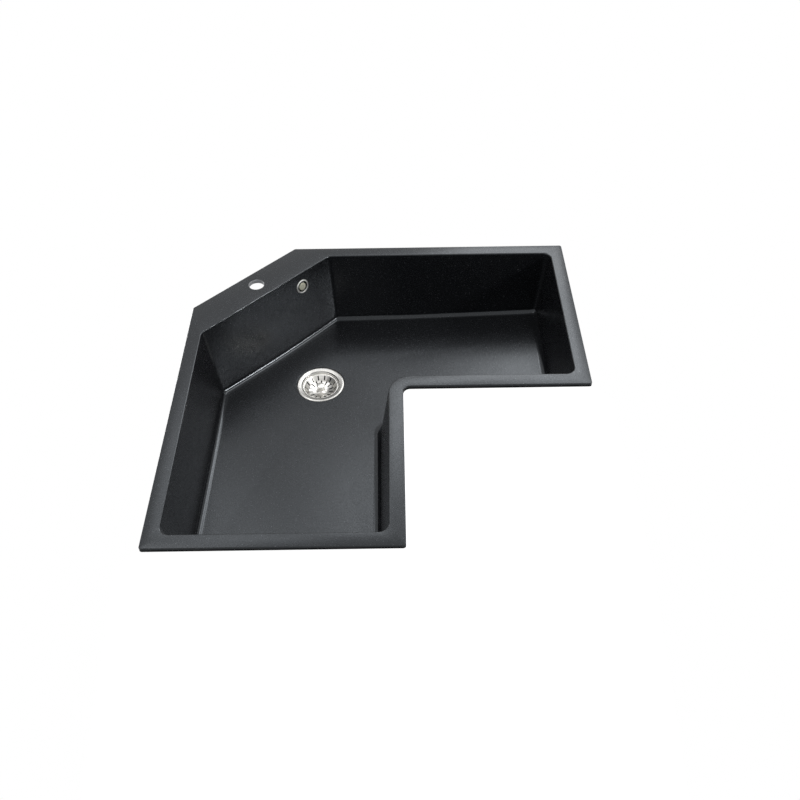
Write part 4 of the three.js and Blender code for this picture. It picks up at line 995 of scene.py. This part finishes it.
def pan_screw(name, thread_r, length, seat, pitch):
    """A pan head screw whose head stands on z = seat, with its thread below."""
    head_r, head_tall = thread_r * 2, thread_r * 1.15
    root = thread_r * 0.84
    ridge = [(root, 0), (thread_r, pitch * 0.45), (thread_r, pitch * 0.55)]
    thread, z = ridges(seat - length + 0.3, seat - 1.5 * pitch, pitch, ridge)
    outline = [(0, seat - length), (thread_r * 0.7, seat - length)] + thread
    outline += [(root, z), (thread_r, seat - pitch * 0.5)]
    outline += softened(
        [
            (thread_r, seat - pitch * 0.5),
            (thread_r, seat),
            (head_r, seat, head_tall * 0.12),
            (head_r, seat + head_tall * 0.5, head_tall * 0.3),
            (head_r * 0.75, seat + head_tall, head_tall * 0.9),
            (0, seat + head_tall),
        ],
        4,
    )[1:]
    screw = turned(name, outline, 28)
    deep, long, wide = head_tall * 0.62, thread_r * 2.1, thread_r * 0.42
    for turn in (0, 90):
        bpy.ops.mesh.primitive_cone_add(vertices=4, radius1=0.33, radius2=math.sqrt(0.5), depth=1)
        recess = bpy.context.object
        editing(recess)
        bpy.ops.transform.rotate(value=math.radians(45), orient_axis="Z", center_override=(0, 0, 0))
        bpy.ops.object.mode_set(mode="OBJECT")
        recess.location = (0, 0, (seat + head_tall - deep / 2 + 0.15) * MM)
        recess.scale = (long * MM, wide * MM, (deep + 0.3) * MM)
        recess.rotation_euler.z = math.radians(turn)
        bpy.ops.object.transform_apply(location=True, rotation=True, scale=True)
        carved(screw, recess)
    drawn_along(screw, 2)
    return screw


cup_screw = pan_screw("cup_screw_m6", thread_r=3, length=16, seat=CUP_FLOOR + GAP, pitch=1)
finished(cup_screw, waste_place, steel, "sink", "cup_screw")

# ---------------------------------------------------------------- strainer basket
# A pressed stainless basket that hangs by its lip in the cup. A row of round-ended slots is punched in
# its wall and another in its dished floor, half a step on.

BASKET_SHEET = 1
STOPPER_TALL = 12
BASKET_LIP = FLANGE_TOP - CUP_STEP + GAP + BASKET_SHEET
BASKET_FLOOR = CUP_FLOOR + GAP + STOPPER_TALL + GAP + BASKET_SHEET
SLOTS_IN_ROW = 14
SLOT_LONG = 11.5
SLOT_WIDE = 3.3

brow = Vector((38.6, BASKET_LIP))
knuckle = Vector((29, BASKET_FLOOR + 4))
dish = Vector((15, BASKET_FLOOR))
basket_face = softened([
    (41.5, BASKET_LIP + 3.4), (40.9, BASKET_LIP, 0.7), (*brow, 1.2), (*knuckle, 5), (*dish, 16),
    (SCREW_HOLE_R, BASKET_FLOOR),
])
basket = turned("slotted_basket", pressed(basket_face, BASKET_SHEET), steps=112)

PUNCH_TALL = 8
bpy.ops.mesh.primitive_circle_add(
    vertices=20, radius=SLOT_WIDE / 2 * MM, fill_type="NGON", location=(0, 0, -PUNCH_TALL / 2 * MM)
)
punch = bpy.context.object
bpy.ops.object.transform_apply(location=True)
half_run = (SLOT_LONG - SLOT_WIDE) / 2 * MM
for v in punch.data.vertices:
    v.co.x += math.copysign(half_run, v.co.x) if abs(v.co.x) > 1e-7 else half_run
editing(punch)
bpy.ops.mesh.extrude_region_move(TRANSFORM_OT_translate={"value": (0, 0, PUNCH_TALL * MM)})
bpy.ops.object.mode_set(mode="OBJECT")
faced_out(punch)
punch_places = []
floor_run = (Vector((31, BASKET_FLOOR + 4.4)), Vector((18.5, BASKET_FLOOR + 1)))
for (outer_end, inner_end), shift in (((brow, knuckle), 0), (floor_run, 0.5)):
    middle, run = (outer_end + inner_end) / 2 * MM, outer_end - inner_end
    lean = Matrix.Rotation(-math.atan2(run.y, run.x), 4, "Y")
    for i in range(SLOTS_IN_ROW):
        turn = Matrix.Rotation(math.radians(360) * (i + shift) / SLOTS_IN_ROW, 4, "Z")
        punch_places.append(turn @ Matrix.Translation((middle.x, 0, middle.y)) @ lean)
carved(basket, spread(punch, punch_places))
lined(basket, basket_face)
mark_wear_and_highlight_edges(basket, 0.6)
dressed(fixed(basket, waste_place), steel)
stands_for(basket, "basket", "strainer_basket")

# ---------------------------------------------------------------- basket knob, stem, stopper and nut
# A turned steel knob lifts the basket. Its stem goes down through the basket and a rubber stopper, and
# a thin nut below holds them together.

KNOB_FOOT = BASKET_FLOOR + GAP
KNOB_TALL = 20
KNOB_R = 9.5
STEM_R = 3
STOPPER_FOOT = CUP_FLOOR + GAP
STOPPER_TOP = STOPPER_FOOT + STOPPER_TALL
STOPPER_R = 27
NUT_TOP = STOPPER_TOP - 3.3
NUT_TALL = 3.5

knob_outline = softened([
    (SCREW_HOLE_R, KNOB_FOOT), (KNOB_R * 1.1, KNOB_FOOT, 0.3),
    (KNOB_R * 1.1, KNOB_FOOT + 1.5, 0.7), (5.8, KNOB_FOOT + 3.5, 2.5), (5.2, KNOB_FOOT + 10, 4),
    (7.6, KNOB_FOOT + 13.6, 2.5), (KNOB_R, KNOB_FOOT + 15, 1.2),
    (KNOB_R, KNOB_FOOT + 18.4, 1.2), (7.2, KNOB_FOOT + 19.6, 3), (3, KNOB_FOOT + KNOB_TALL, 6),
    (0, KNOB_FOOT + KNOB_TALL), (0, KNOB_FOOT + 10), (SCREW_HOLE_R, KNOB_FOOT + 10),
], 6)
knob = turned("turned_knob", knob_outline, 64)
lined(knob, knob_outline)
finished(knob, waste_place, steel, "basket", "basket_knob")

stem_foot, stem_top = NUT_TOP - NUT_TALL, BASKET_FLOOR + 10
stem_root = STEM_R - 0.45
thread, z = ridges(stem_foot + 0.5, NUT_TOP + 3, 1, [(stem_root, 0), (STEM_R, 0.45), (STEM_R, 0.55)])
stem_outline = [(0, stem_foot), (STEM_R - 0.5, stem_foot), *thread, (stem_root, z), (STEM_R, z + 0.5)]
stem_outline += [(STEM_R, stem_top - 0.4), (STEM_R - 0.4, stem_top), (0, stem_top)]
stem = turned("knob_stem", stem_outline, 28)
drawn_along(stem, 2)
finished(stem, waste_place, steel, "basket", "basket_stem")

stopper_outline = softened([
    (STOPPER_R - 2, STOPPER_FOOT), (STOPPER_R, STOPPER_FOOT, 0.8),
    (STOPPER_R, STOPPER_TOP - 2, 1.5), (STOPPER_R - 2, STOPPER_TOP, 1.5),
    (SCREW_HOLE_R, STOPPER_TOP, 0.4), (SCREW_HOLE_R, STOPPER_TOP - 3, 0.4),
    (STOPPER_R - 4, STOPPER_TOP - 3, 1.6), (STOPPER_R - 4, STOPPER_FOOT, 0.8),
    (STOPPER_R - 2, STOPPER_FOOT),
], 4)
stopper = turned("rubber_stopper", stopper_outline[:-1], 64)
finished(stopper, waste_place, rubber, "basket", "basket_stopper")

bpy.ops.mesh.primitive_cylinder_add(
    vertices=6, radius=5.76 * MM, depth=NUT_TALL * MM, location=(0, 0, (NUT_TOP - NUT_TALL / 2) * MM)
)
nut = bpy.context.object
nut.name = nut.data.name = "stem_nut_m6"
bpy.ops.object.transform_apply(location=True)
chamfer = [(0, -0.1), (5.1, -0.1), (5.9, 0.6), (5.9, NUT_TALL - 0.6), (5.1, NUT_TALL + 0.1)]
bore = [(0, -1), (3.8, -1), (3.3, 0.4), (3.3, NUT_TALL - 0.4), (3.8, NUT_TALL + 1)]
for outline, operation, steps in ((chamfer, "INTERSECT", 48), (bore, "DIFFERENCE", 32)):
    in_place = [(r, z + NUT_TOP - NUT_TALL) for r, z in [*outline, (0, outline[-1][1])]]
    carved(nut, turned("nut_tool", in_place, steps), operation)
drawn_along(nut, 0)
finished(nut, waste_place, steel, "basket", "stem_nut")

# ---------------------------------------------------------------- overflow ring and screw
# A chromed ring lines the overflow's hole. The big satin head of a screw shows in its middle, and pulls
# on a hub that three arms hold behind it.

WALL_NORMAL = WALL / math.hypot(1, DRAFT)

ring_face = softened([
    (12.9, -4), (12.9, -WALL_NORMAL, 0.3), (14.4, -WALL_NORMAL, 0.3), (14.4, 0.3),
    (17.5, 0.3, 0.15), (17.2, 1.2, 0.5), (15.4, 1.9, 1.8), (13.6, 1.4, 0.5), (12.9, -0.4, 0.5),
    (12.9, -4),
], 5)
overflow_ring = turned("overflow_ring_fine", ring_face[:-1], 72)
hub_corners = [(2.8, -6.5), (2.8, -8, 0.3), (5.5, -8, 0.6), (5.5, -5, 0.6), (2.8, -5, 0.3), (2.8, -6.5)]
hub = turned("hub", softened(hub_corners, 3)[:-1], 32)
for i in range(3):
    spoke = block((9, 2.4, 3), (9.2, 0, -6.5))
    applied(spoke, "BEVEL", width=0.4 * MM, segments=2, limit_method="ANGLE")
    carved(hub, fixed(spoke, Matrix.Rotation(math.radians(90 + 120 * i), 4, "Z")), "UNION")
carved(overflow_ring, hub, "UNION")
lined(overflow_ring, ring_face)
mark_wear_and_highlight_edges(overflow_ring)
satin_chrome = brushed_metal("satin_chrome", (0.74, 0.74, 0.71), (0.9, 0.9, 0.87), 0.42, 0.55, 0.00002)
dressed(overflow_ring, satin_chrome)
# Its bore and back are painted near-black, a painted shade inside the overflow's hole.
overflow_ring.data.materials.append(painted_shade_steel)
for polygon in overflow_ring.data.polygons:
    behind, within = polygon.center.z < 0.3 * MM, polygon.center.xy.length < 13.4 * MM
    polygon.material_index = int(behind or within)
stands_for(fixed(overflow_ring, overflow_place), "sink", "overflow_ring")

HEAD_R = 9.5
tip = -WALL_NORMAL - 17.5
thread = ridges(tip + 0.4, -8, 0.8, [(2.1, 0), (2.5, 0.35), (2.5, 0.45)])[0]
screw_face = softened([
    (2.5, -6.5), (2.5, -4.7), (4.2, -4.7, 0.3), (4.2, -1.4, 0.6), (HEAD_R, -0.4, 0.3),
    (HEAD_R, 0.7, 0.35), (HEAD_R - 1.1, 1.05, 0.8), (4, 1.2, 10), (0, 1.2),
], 5)
overflow_screw = turned("overflow_screw_fine", [(0, tip), (1.9, tip)] + thread + screw_face, 64)
lined(overflow_screw, screw_face)
satin_steel = brushed_metal("satin_steel", (0.62, 0.615, 0.5), (0.86, 0.85, 0.72), 0.55, 0.7, 0.00002)
finished(overflow_screw, overflow_place, satin_steel, "sink", "overflow_screw")

# ---------------------------------------------------------------- overflow elbow and gasket
# Behind the wall a white plastic elbow catches the overflow's water and turns it down. A rubber ring
# seals its flange to the wall, and the big screw goes into a post in its middle.

ELBOW_R = 23
ELBOW_DEEP = 35
ELBOW_FACE = -WALL_NORMAL - 2.1
SPOUT_LENGTH = 35

gasket_outline = ring_outline(15, ELBOW_R, ELBOW_FACE + GAP, ELBOW_FACE + 1.8, 0.4)
gasket = turned("overflow_gasket_ring", gasket_outline, 64)
finished(gasket, overflow_place, rubber, "sink", "overflow_gasket")

back = ELBOW_FACE - ELBOW_DEEP
chamber_outline = softened([
    (0, back), (18, back, 3), (20, back + 2, 3), (20, ELBOW_FACE - 3, 1.2),
    (ELBOW_R, ELBOW_FACE - 3, 0.6), (ELBOW_R, ELBOW_FACE, 0.5), (17.4, ELBOW_FACE, 0.5),
    (17.4, back + 2.6, 2.5), (0, back + 2.6),
], 4)
elbow = turned("overflow_elbow_moulding", chamber_outline, 56)
down = Matrix.Translation((0, 0, (ELBOW_FACE - ELBOW_DEEP / 2) * MM)) @ Matrix.Rotation(math.pi / 2, 4, "X")
room = turned("room", [(0, back + 2.6), (17.4, back + 2.6), (17.4, ELBOW_FACE + 2), (0, ELBOW_FACE + 2)], 56)
spout = fixed(turned("spout", spigot(12, 20.5, 21, 4, SPOUT_LENGTH), 40), down)
carved(elbow, carved(spout, room), "UNION")
carved(elbow, fixed(turned("bore", spigot_bore(5.5, SPOUT_LENGTH), 40), down))
post_foot, post_top, post_r, tip_room = back + 1.3, ELBOW_FACE - 4, 5, tip - 1
post_outline = [(0, post_foot), (post_r, post_foot), (post_r, post_top), (2.8, post_top), (2.8, tip_room)]
carved(elbow, turned("post", post_outline + [(0, tip_room)], 32), "UNION")
finished(elbow, overflow_place, plastic, "sink", "overflow_elbow")

# ---------------------------------------------------------------- overflow hose, its nuts and washers
# A corrugated polypropylene hose, blown in one piece with a plain cuff and a collar at each end. A
# fluted union nut clamps each collar on a rubber washer, and the hose follows the bend between them.

HOSE_START = 2.6
HOSE_RIB_R = 12
HOSE_ROOT_R = 10.2
HOSE_BORE_R = 8.8
RIB_PITCH = 5.5
CUFF = 12
COLLAR_R = 12.4
HOSE_FALL = 176
HOSE_LEVEL = 78

spout_way = -up_wall
spout_end = overflow_place @ Vector((0, -SPOUT_LENGTH * MM, (ELBOW_FACE - ELBOW_DEEP / 2) * MM))
inlet_way = Vector((math.cos(INLET_TURN), math.sin(INLET_TURN), 0))
inlet_end = placed(DRAIN.x, DRAIN.y, INLET_Z) + inlet_way * INLET_REACH * MM
hose_top, hose_foot = spout_end + spout_way * HOSE_START * MM, inlet_end + inlet_way * HOSE_START * MM
pull_top, pull_foot = hose_top + spout_way * HOSE_FALL * MM, hose_foot + inlet_way * HOSE_LEVEL * MM


def hose_point(t):
    """A point of the hose's middle line, from 0 at the top to 1 at the foot."""
    u = 1 - t
    return hose_top * u**3 + pull_top * 3 * u * u * t + pull_foot * 3 * u * t * t + hose_foot * t**3


def hose_way(t):
    """The hose's direction there."""
    u = 1 - t
    first, second, third = pull_top - hose_top, pull_foot - pull_top, hose_foot - pull_foot
    return (first * u * u + second * 2 * u * t + third * t * t).normalized()


FINE = 4000
marks = [0.0]
before = hose_point(0)
for k in range(1, FINE + 1):
    here = hose_point(k / FINE)
    marks.append(marks[-1] + (here - before).length / MM)
    before = here
hose_length = marks[-1]
ribs = int((hose_length - 2 * CUFF) / RIB_PITCH)
rib_start = (hose_length - ribs * RIB_PITCH) / 2
mouth_r, collar_edge_r = HOSE_BORE_R + 0.2, COLLAR_R - 0.4
end_section = [(0, mouth_r), (0, collar_edge_r), (0.4, COLLAR_R), (2.1, COLLAR_R), (2.5, collar_edge_r)]
end_section += [(s, HOSE_ROOT_R) for s in (2.5, 5, 7.5, rib_start - 0.6)]
section = list(end_section)
for i in range(ribs):
    for share in (0, 0.14, 0.26, 0.38, 0.5, 0.62, 0.74, 0.86):
        lift = min(1, max(0, (0.5 - 0.5 * math.cos(2 * math.pi * share)) * 1.25 - 0.06))
        rib_r = HOSE_ROOT_R + (HOSE_RIB_R - HOSE_ROOT_R) * lift
        section.append((rib_start + (i + share) * RIB_PITCH, rib_r))
section += [(hose_length - s, r) for s, r in reversed(end_section)]
bore_rings = ribs * 2
for i in range(bore_rings, 0, -1):
    section.append((hose_length * i / (bore_rings + 1), HOSE_BORE_R))
HOSE_SIDES = 32
side_way = hose_way(0).cross(hose_way(1)).normalized()
points = []
k = 0
for s, radius in section:
    while k < FINE and marks[k + 1] < s:
        k += 1
    while k > 0 and marks[k] > s:
        k -= 1
    t = (k + (s - marks[k]) / max(marks[min(k + 1, FINE)] - marks[k], 1e-9)) / FINE
    t = min(max(t, 0), 1)
    centre, ahead = hose_point(t), hose_way(t)
    across = side_way.cross(ahead).normalized()
    lift = ahead.cross(across)
    for n in range(HOSE_SIDES):
        turn = 2 * math.pi * n / HOSE_SIDES
        points.append(centre + (across * math.cos(turn) + lift * math.sin(turn)) * radius * MM)
hose = skinned("ribbed_hose", points, HOSE_SIDES)
mark_wear_and_highlight_edges(hose)
milky, pale = (0.50, 0.51, 0.505), (0.66, 0.66, 0.65)
hose_plastic = moulded_look("hose_plastic", milky, pale, 0.3, 0.42, 500.0, 0.00004, Specular_IOR_Level=0.45)
dressed(hose, hose_plastic, 60)
stands_for(hose, "sink", "overflow_hose")

NUT_BACK, NUT_FRONT = -9.6, 8.4
HOSE_NUT_R = 17
FLUTES = 12
union_outline = softened([
    (13.3, -4), (13.3, NUT_BACK, 0.4), (HOSE_NUT_R, NUT_BACK, 1.2),
    (HOSE_NUT_R, NUT_FRONT - 2.5, 1.5), (14.5, NUT_FRONT, 1.5), (10.8, NUT_FRONT, 0.4),
    (10.8, 5.4, 0.3), (13.3, 5.4), (13.3, -4),
], 4)
union_nut = turned("union_nut", union_outline[:-1], 96)
bpy.ops.mesh.primitive_cylinder_add(vertices=24, radius=2.6 * MM, depth=30 * MM)
flute = bpy.context.object
flute_places = []
for i in range(FLUTES):
    turn = Matrix.Rotation(math.radians(360 / FLUTES * (i + 0.5)), 4, "Z")
    flute_places.append(turn @ Matrix.Translation(((HOSE_NUT_R + 1) * MM, 0, 0)))
carved(union_nut, spread(flute, flute_places))
mark_wear_and_highlight_edges(union_nut)
dressed(union_nut, plastic)
washer = turned("washer", ring_outline(9.5, 12.7, GAP, 2.3, 0.4), 48)
mark_wear_and_highlight_edges(washer)
dressed(washer, rubber)
for name, end, way in (("upper", spout_end, spout_way), ("lower", inlet_end, inlet_way)):
    place = Matrix.Translation(end) @ Vector((0, 0, 1)).rotation_difference(way).to_matrix().to_4x4()
    for piece, node, finish in ((union_nut, "hose_nut", "plastic"), (washer, "hose_washer", "rubber")):
        stands_for(copied(piece, f"{piece.name}_{name}", place), "sink", f"{node}_{name}")
bpy.data.objects.remove(union_nut)
bpy.data.objects.remove(washer)

# ---------------------------------------------------------------- clamps
# Eight zinc plated steel arms hang below the rim, each on a screw in a brass insert in its lug. The
# fitter swings an arm out under the worktop and drives the screw, and its turned-up jaw bites.

PIVOT_TOP = -LUG_TALL - GAP
ARM_SHEET = 2.5
ARM_WIDE = 12
ARM_REACH = 46
WORKTOP = 38
JAW_TALL = 6
JAW_LOW = ARM_SHEET - WORKTOP - GAP - JAW_TALL

half_sheet, half_wide = ARM_SHEET / 2, ARM_WIDE / 2
jaw_tip = JAW_LOW - ARM_SHEET + JAW_TALL
path = softened([
    (-half_wide, PIVOT_TOP - half_sheet), (half_wide, PIVOT_TOP - half_sheet, 3),
    (half_wide + 7, JAW_LOW - half_sheet, 3),
    (ARM_REACH - half_sheet, JAW_LOW - half_sheet, 1.3), (ARM_REACH - half_sheet, jaw_tip),
], 6)
bpy.ops.mesh.primitive_plane_add(size=MM)
clamp_arm = bpy.context.object
bpy.ops.object.mode_set(mode="EDIT")
bpy.ops.mesh.merge(type="CENTER")
bpy.ops.transform.translate(value=(path[0].x * MM, -half_wide * MM, path[0].y * MM))
for a, b in zip(path, path[1:]):
    run = ((b.x - a.x) * MM, 0, (b.y - a.y) * MM)
    bpy.ops.mesh.extrude_region_move(TRANSFORM_OT_translate={"value": run})
bpy.ops.mesh.select_all(action="SELECT")
bpy.ops.mesh.extrude_region_move(TRANSFORM_OT_translate={"value": (0, ARM_WIDE * MM, 0)})
bpy.ops.object.mode_set(mode="OBJECT")
faced_out(clamp_arm)
applied(clamp_arm, "SOLIDIFY", thickness=ARM_SHEET * MM, offset=0, use_even_offset=True)
# Half a ring about the screw is cut away, which rounds the arm's end.
heel = turned("heel", [(half_wide, -40), (14, -40), (14, -20), (half_wide, -20)], 40)
carved(clamp_arm, carved(heel, block((100, 60, 60), (50, 0, -30))))
hole = [(0, PIVOT_TOP - 4), (2.3, PIVOT_TOP - 4), (2.3, PIVOT_TOP + 1), (0, PIVOT_TOP + 1)]
carved(clamp_arm, turned("hole", hole, 32))
for offset in (-3.6, 0, 3.6):
    bpy.ops.mesh.primitive_cylinder_add(
        vertices=4,
        radius=0.95 * MM,
        depth=10 * MM,
        rotation=(0, math.pi / 2, 0),
        location=(ARM_REACH * MM, offset * MM, jaw_tip * MM),
    )
    carved(clamp_arm, bpy.context.object)
applied(clamp_arm, "BEVEL", width=0.3 * MM, segments=2, limit_method="ANGLE", angle_limit=math.radians(50))
drawn_along(clamp_arm, 1)
mark_wear_and_highlight_edges(clamp_arm)

zinc, tree, shader = material("zinc_plate", Metallic=1.0)
where = add(tree, "ShaderNodeTexCoord").outputs["Object"]
flowers = add(tree, "ShaderNodeTexVoronoi", {"Vector": where, "Scale": 420.0, "Randomness": 1.0})
spangle = add(tree, "ShaderNodeSeparateColor", {0: flowers.outputs["Color"]}).outputs[0]
edges = use(tree, wear_and_highlight_edges, {"Vector": where})
tone = math_of(tree, "MAXIMUM", math_of(tree, "MULTIPLY", spangle, 0.5), edges["Mask"])
tree.links.new(mixed(tree, tone, (0.46, 0.475, 0.49), (0.66, 0.675, 0.69)), shader["Base Color"])
clouds = use(tree, mottle, {"Vector": where, "Scale": 70.0, "Low": 0.28, "High": 0.42})
gloss = math_of(tree, "ADD", clouds["Value"], math_of(tree, "MULTIPLY", spangle, 0.06))
tree.links.new(gloss, shader["Roughness"])
raised(tree, use(tree, moulded, {"Vector": where, "Scale": 900.0})["Height"], 0.00003)
dressed(clamp_arm, zinc)

screw_seat = -(PIVOT_TOP - ARM_SHEET - GAP)
clamp_screw = pan_screw("clamp_screw_m4", thread_r=2, length=16, seat=screw_seat, pitch=0.7)
mark_wear_and_highlight_edges(clamp_screw)
dressed(fixed(clamp_screw, Matrix.Rotation(math.pi, 4, "X")), zinc)

insert_outline = [(2.3, -LUG_TALL), (3.5, -LUG_TALL), (INSERT_R, -LUG_TALL + 0.4)]
for low in (-LUG_TALL + 3, -LUG_TALL + 7.5):
    insert_outline += [(INSERT_R, low), (3.4, low + 0.3), (3.4, low + 1.2), (INSERT_R, low + 1.5)]
insert_outline += [(INSERT_R, -18.4), (3.4, -18), (2.3, -18)]
clamp_insert = turned("clamp_insert_brass", insert_outline, 36)
drawn_along(clamp_insert, 2)
mark_wear_and_highlight_edges(clamp_insert)
brass = brushed_metal("brass", (0.60, 0.43, 0.17), (0.80, 0.62, 0.30), 0.26, 0.4, 0.00002)
dressed(clamp_insert, brass)

for i, place in enumerate(places, 1):
    pivot = place @ Matrix.Translation((0, SCREW_INSET * MM, 0))
    for piece, node, body, finish in (
        (clamp_arm, "clamp_arm", f"clamp_{i}", "zinc"),
        (clamp_screw, "clamp_screw", "sink", "zinc"),
        (clamp_insert, "clamp_insert", "sink", "brass"),
    ):
        stands_for(copied(piece, f"fine_{node}_{i}", pivot), body, f"{node}_{i}")
for piece in (clamp_arm, clamp_screw, clamp_insert):
    bpy.data.objects.remove(piece)

# ---------------------------------------------------------------- white sheet
# A plain white sheet stands for the worktop in front of the sink. It follows the front rims and the
# knee, slopes down at the front, and leaves the back, the outer sides and the underside in view.

SHEET_Z = -0.4
HOLE_INSET = 11
MARGIN = 34
FRONT = 420
FRONT_DROP = 100
hole = plan_ring(HOLE_INSET, HOLE_INSET, 6, KNEE_CORNER + HOLE_INSET)
margin = plan_ring(-MARGIN, -MARGIN, 1, 4)
count = len(hole)
points = [placed(p.x, p.y, SHEET_Z) for p in hole + margin]
step = OVERALL - ARM_WIDTH
near = [q.y < step + HOLE_INSET + 1 and (q.x > HOLE_INSET + 1 or q.y < HOLE_INSET + 1) for q in hole]
faces = []
for i in range(count):
    j = (i + 1) % count
    if near[i] and near[j]:
        faces.append((i, j, count + j, count + i))
far, right, knee = SHEET_Z - FRONT_DROP, OVERALL + MARGIN, ARM_WIDTH + MARGIN - 1
fold, back = 1 - MARGIN, step + 1 - MARGIN
front = ((-MARGIN, -FRONT, far), (right, -FRONT, far), (right, fold, SHEET_Z), (-MARGIN, fold, SHEET_Z))
inner = ((knee, fold, SHEET_Z), (right, fold, SHEET_Z), (right, back, SHEET_Z), (knee, back, SHEET_Z))
for corners in (front, inner):
    first = len(points)
    points += [placed(*corner) for corner in corners]
    faces.append(tuple(range(first, first + 4)))
sheet = meshed("sheet", points, faces)
paper = bpy.data.materials.new("paper")
paper.use_nodes = True
tree = paper.node_tree
tree.nodes.clear()
ray = add(tree, "ShaderNodeLightPath").outputs
plain = add(tree, "ShaderNodeBsdfDiffuse", {"Color": (0.7, 0.7, 0.7, 1)})
glow = add(tree, "ShaderNodeEmission", {"Strength": 0.8})
both = add(tree, "ShaderNodeAddShader", {0: plain.outputs[0], 1: glow.outputs[0]})
choice = add(tree, "ShaderNodeMixShader", {0: ray["Is Camera Ray"], 1: plain.outputs[0], 2: both.outputs[0]})
add(tree, "ShaderNodeOutputMaterial", {"Surface": choice.outputs[0]})
sheet.data.materials.append(paper)
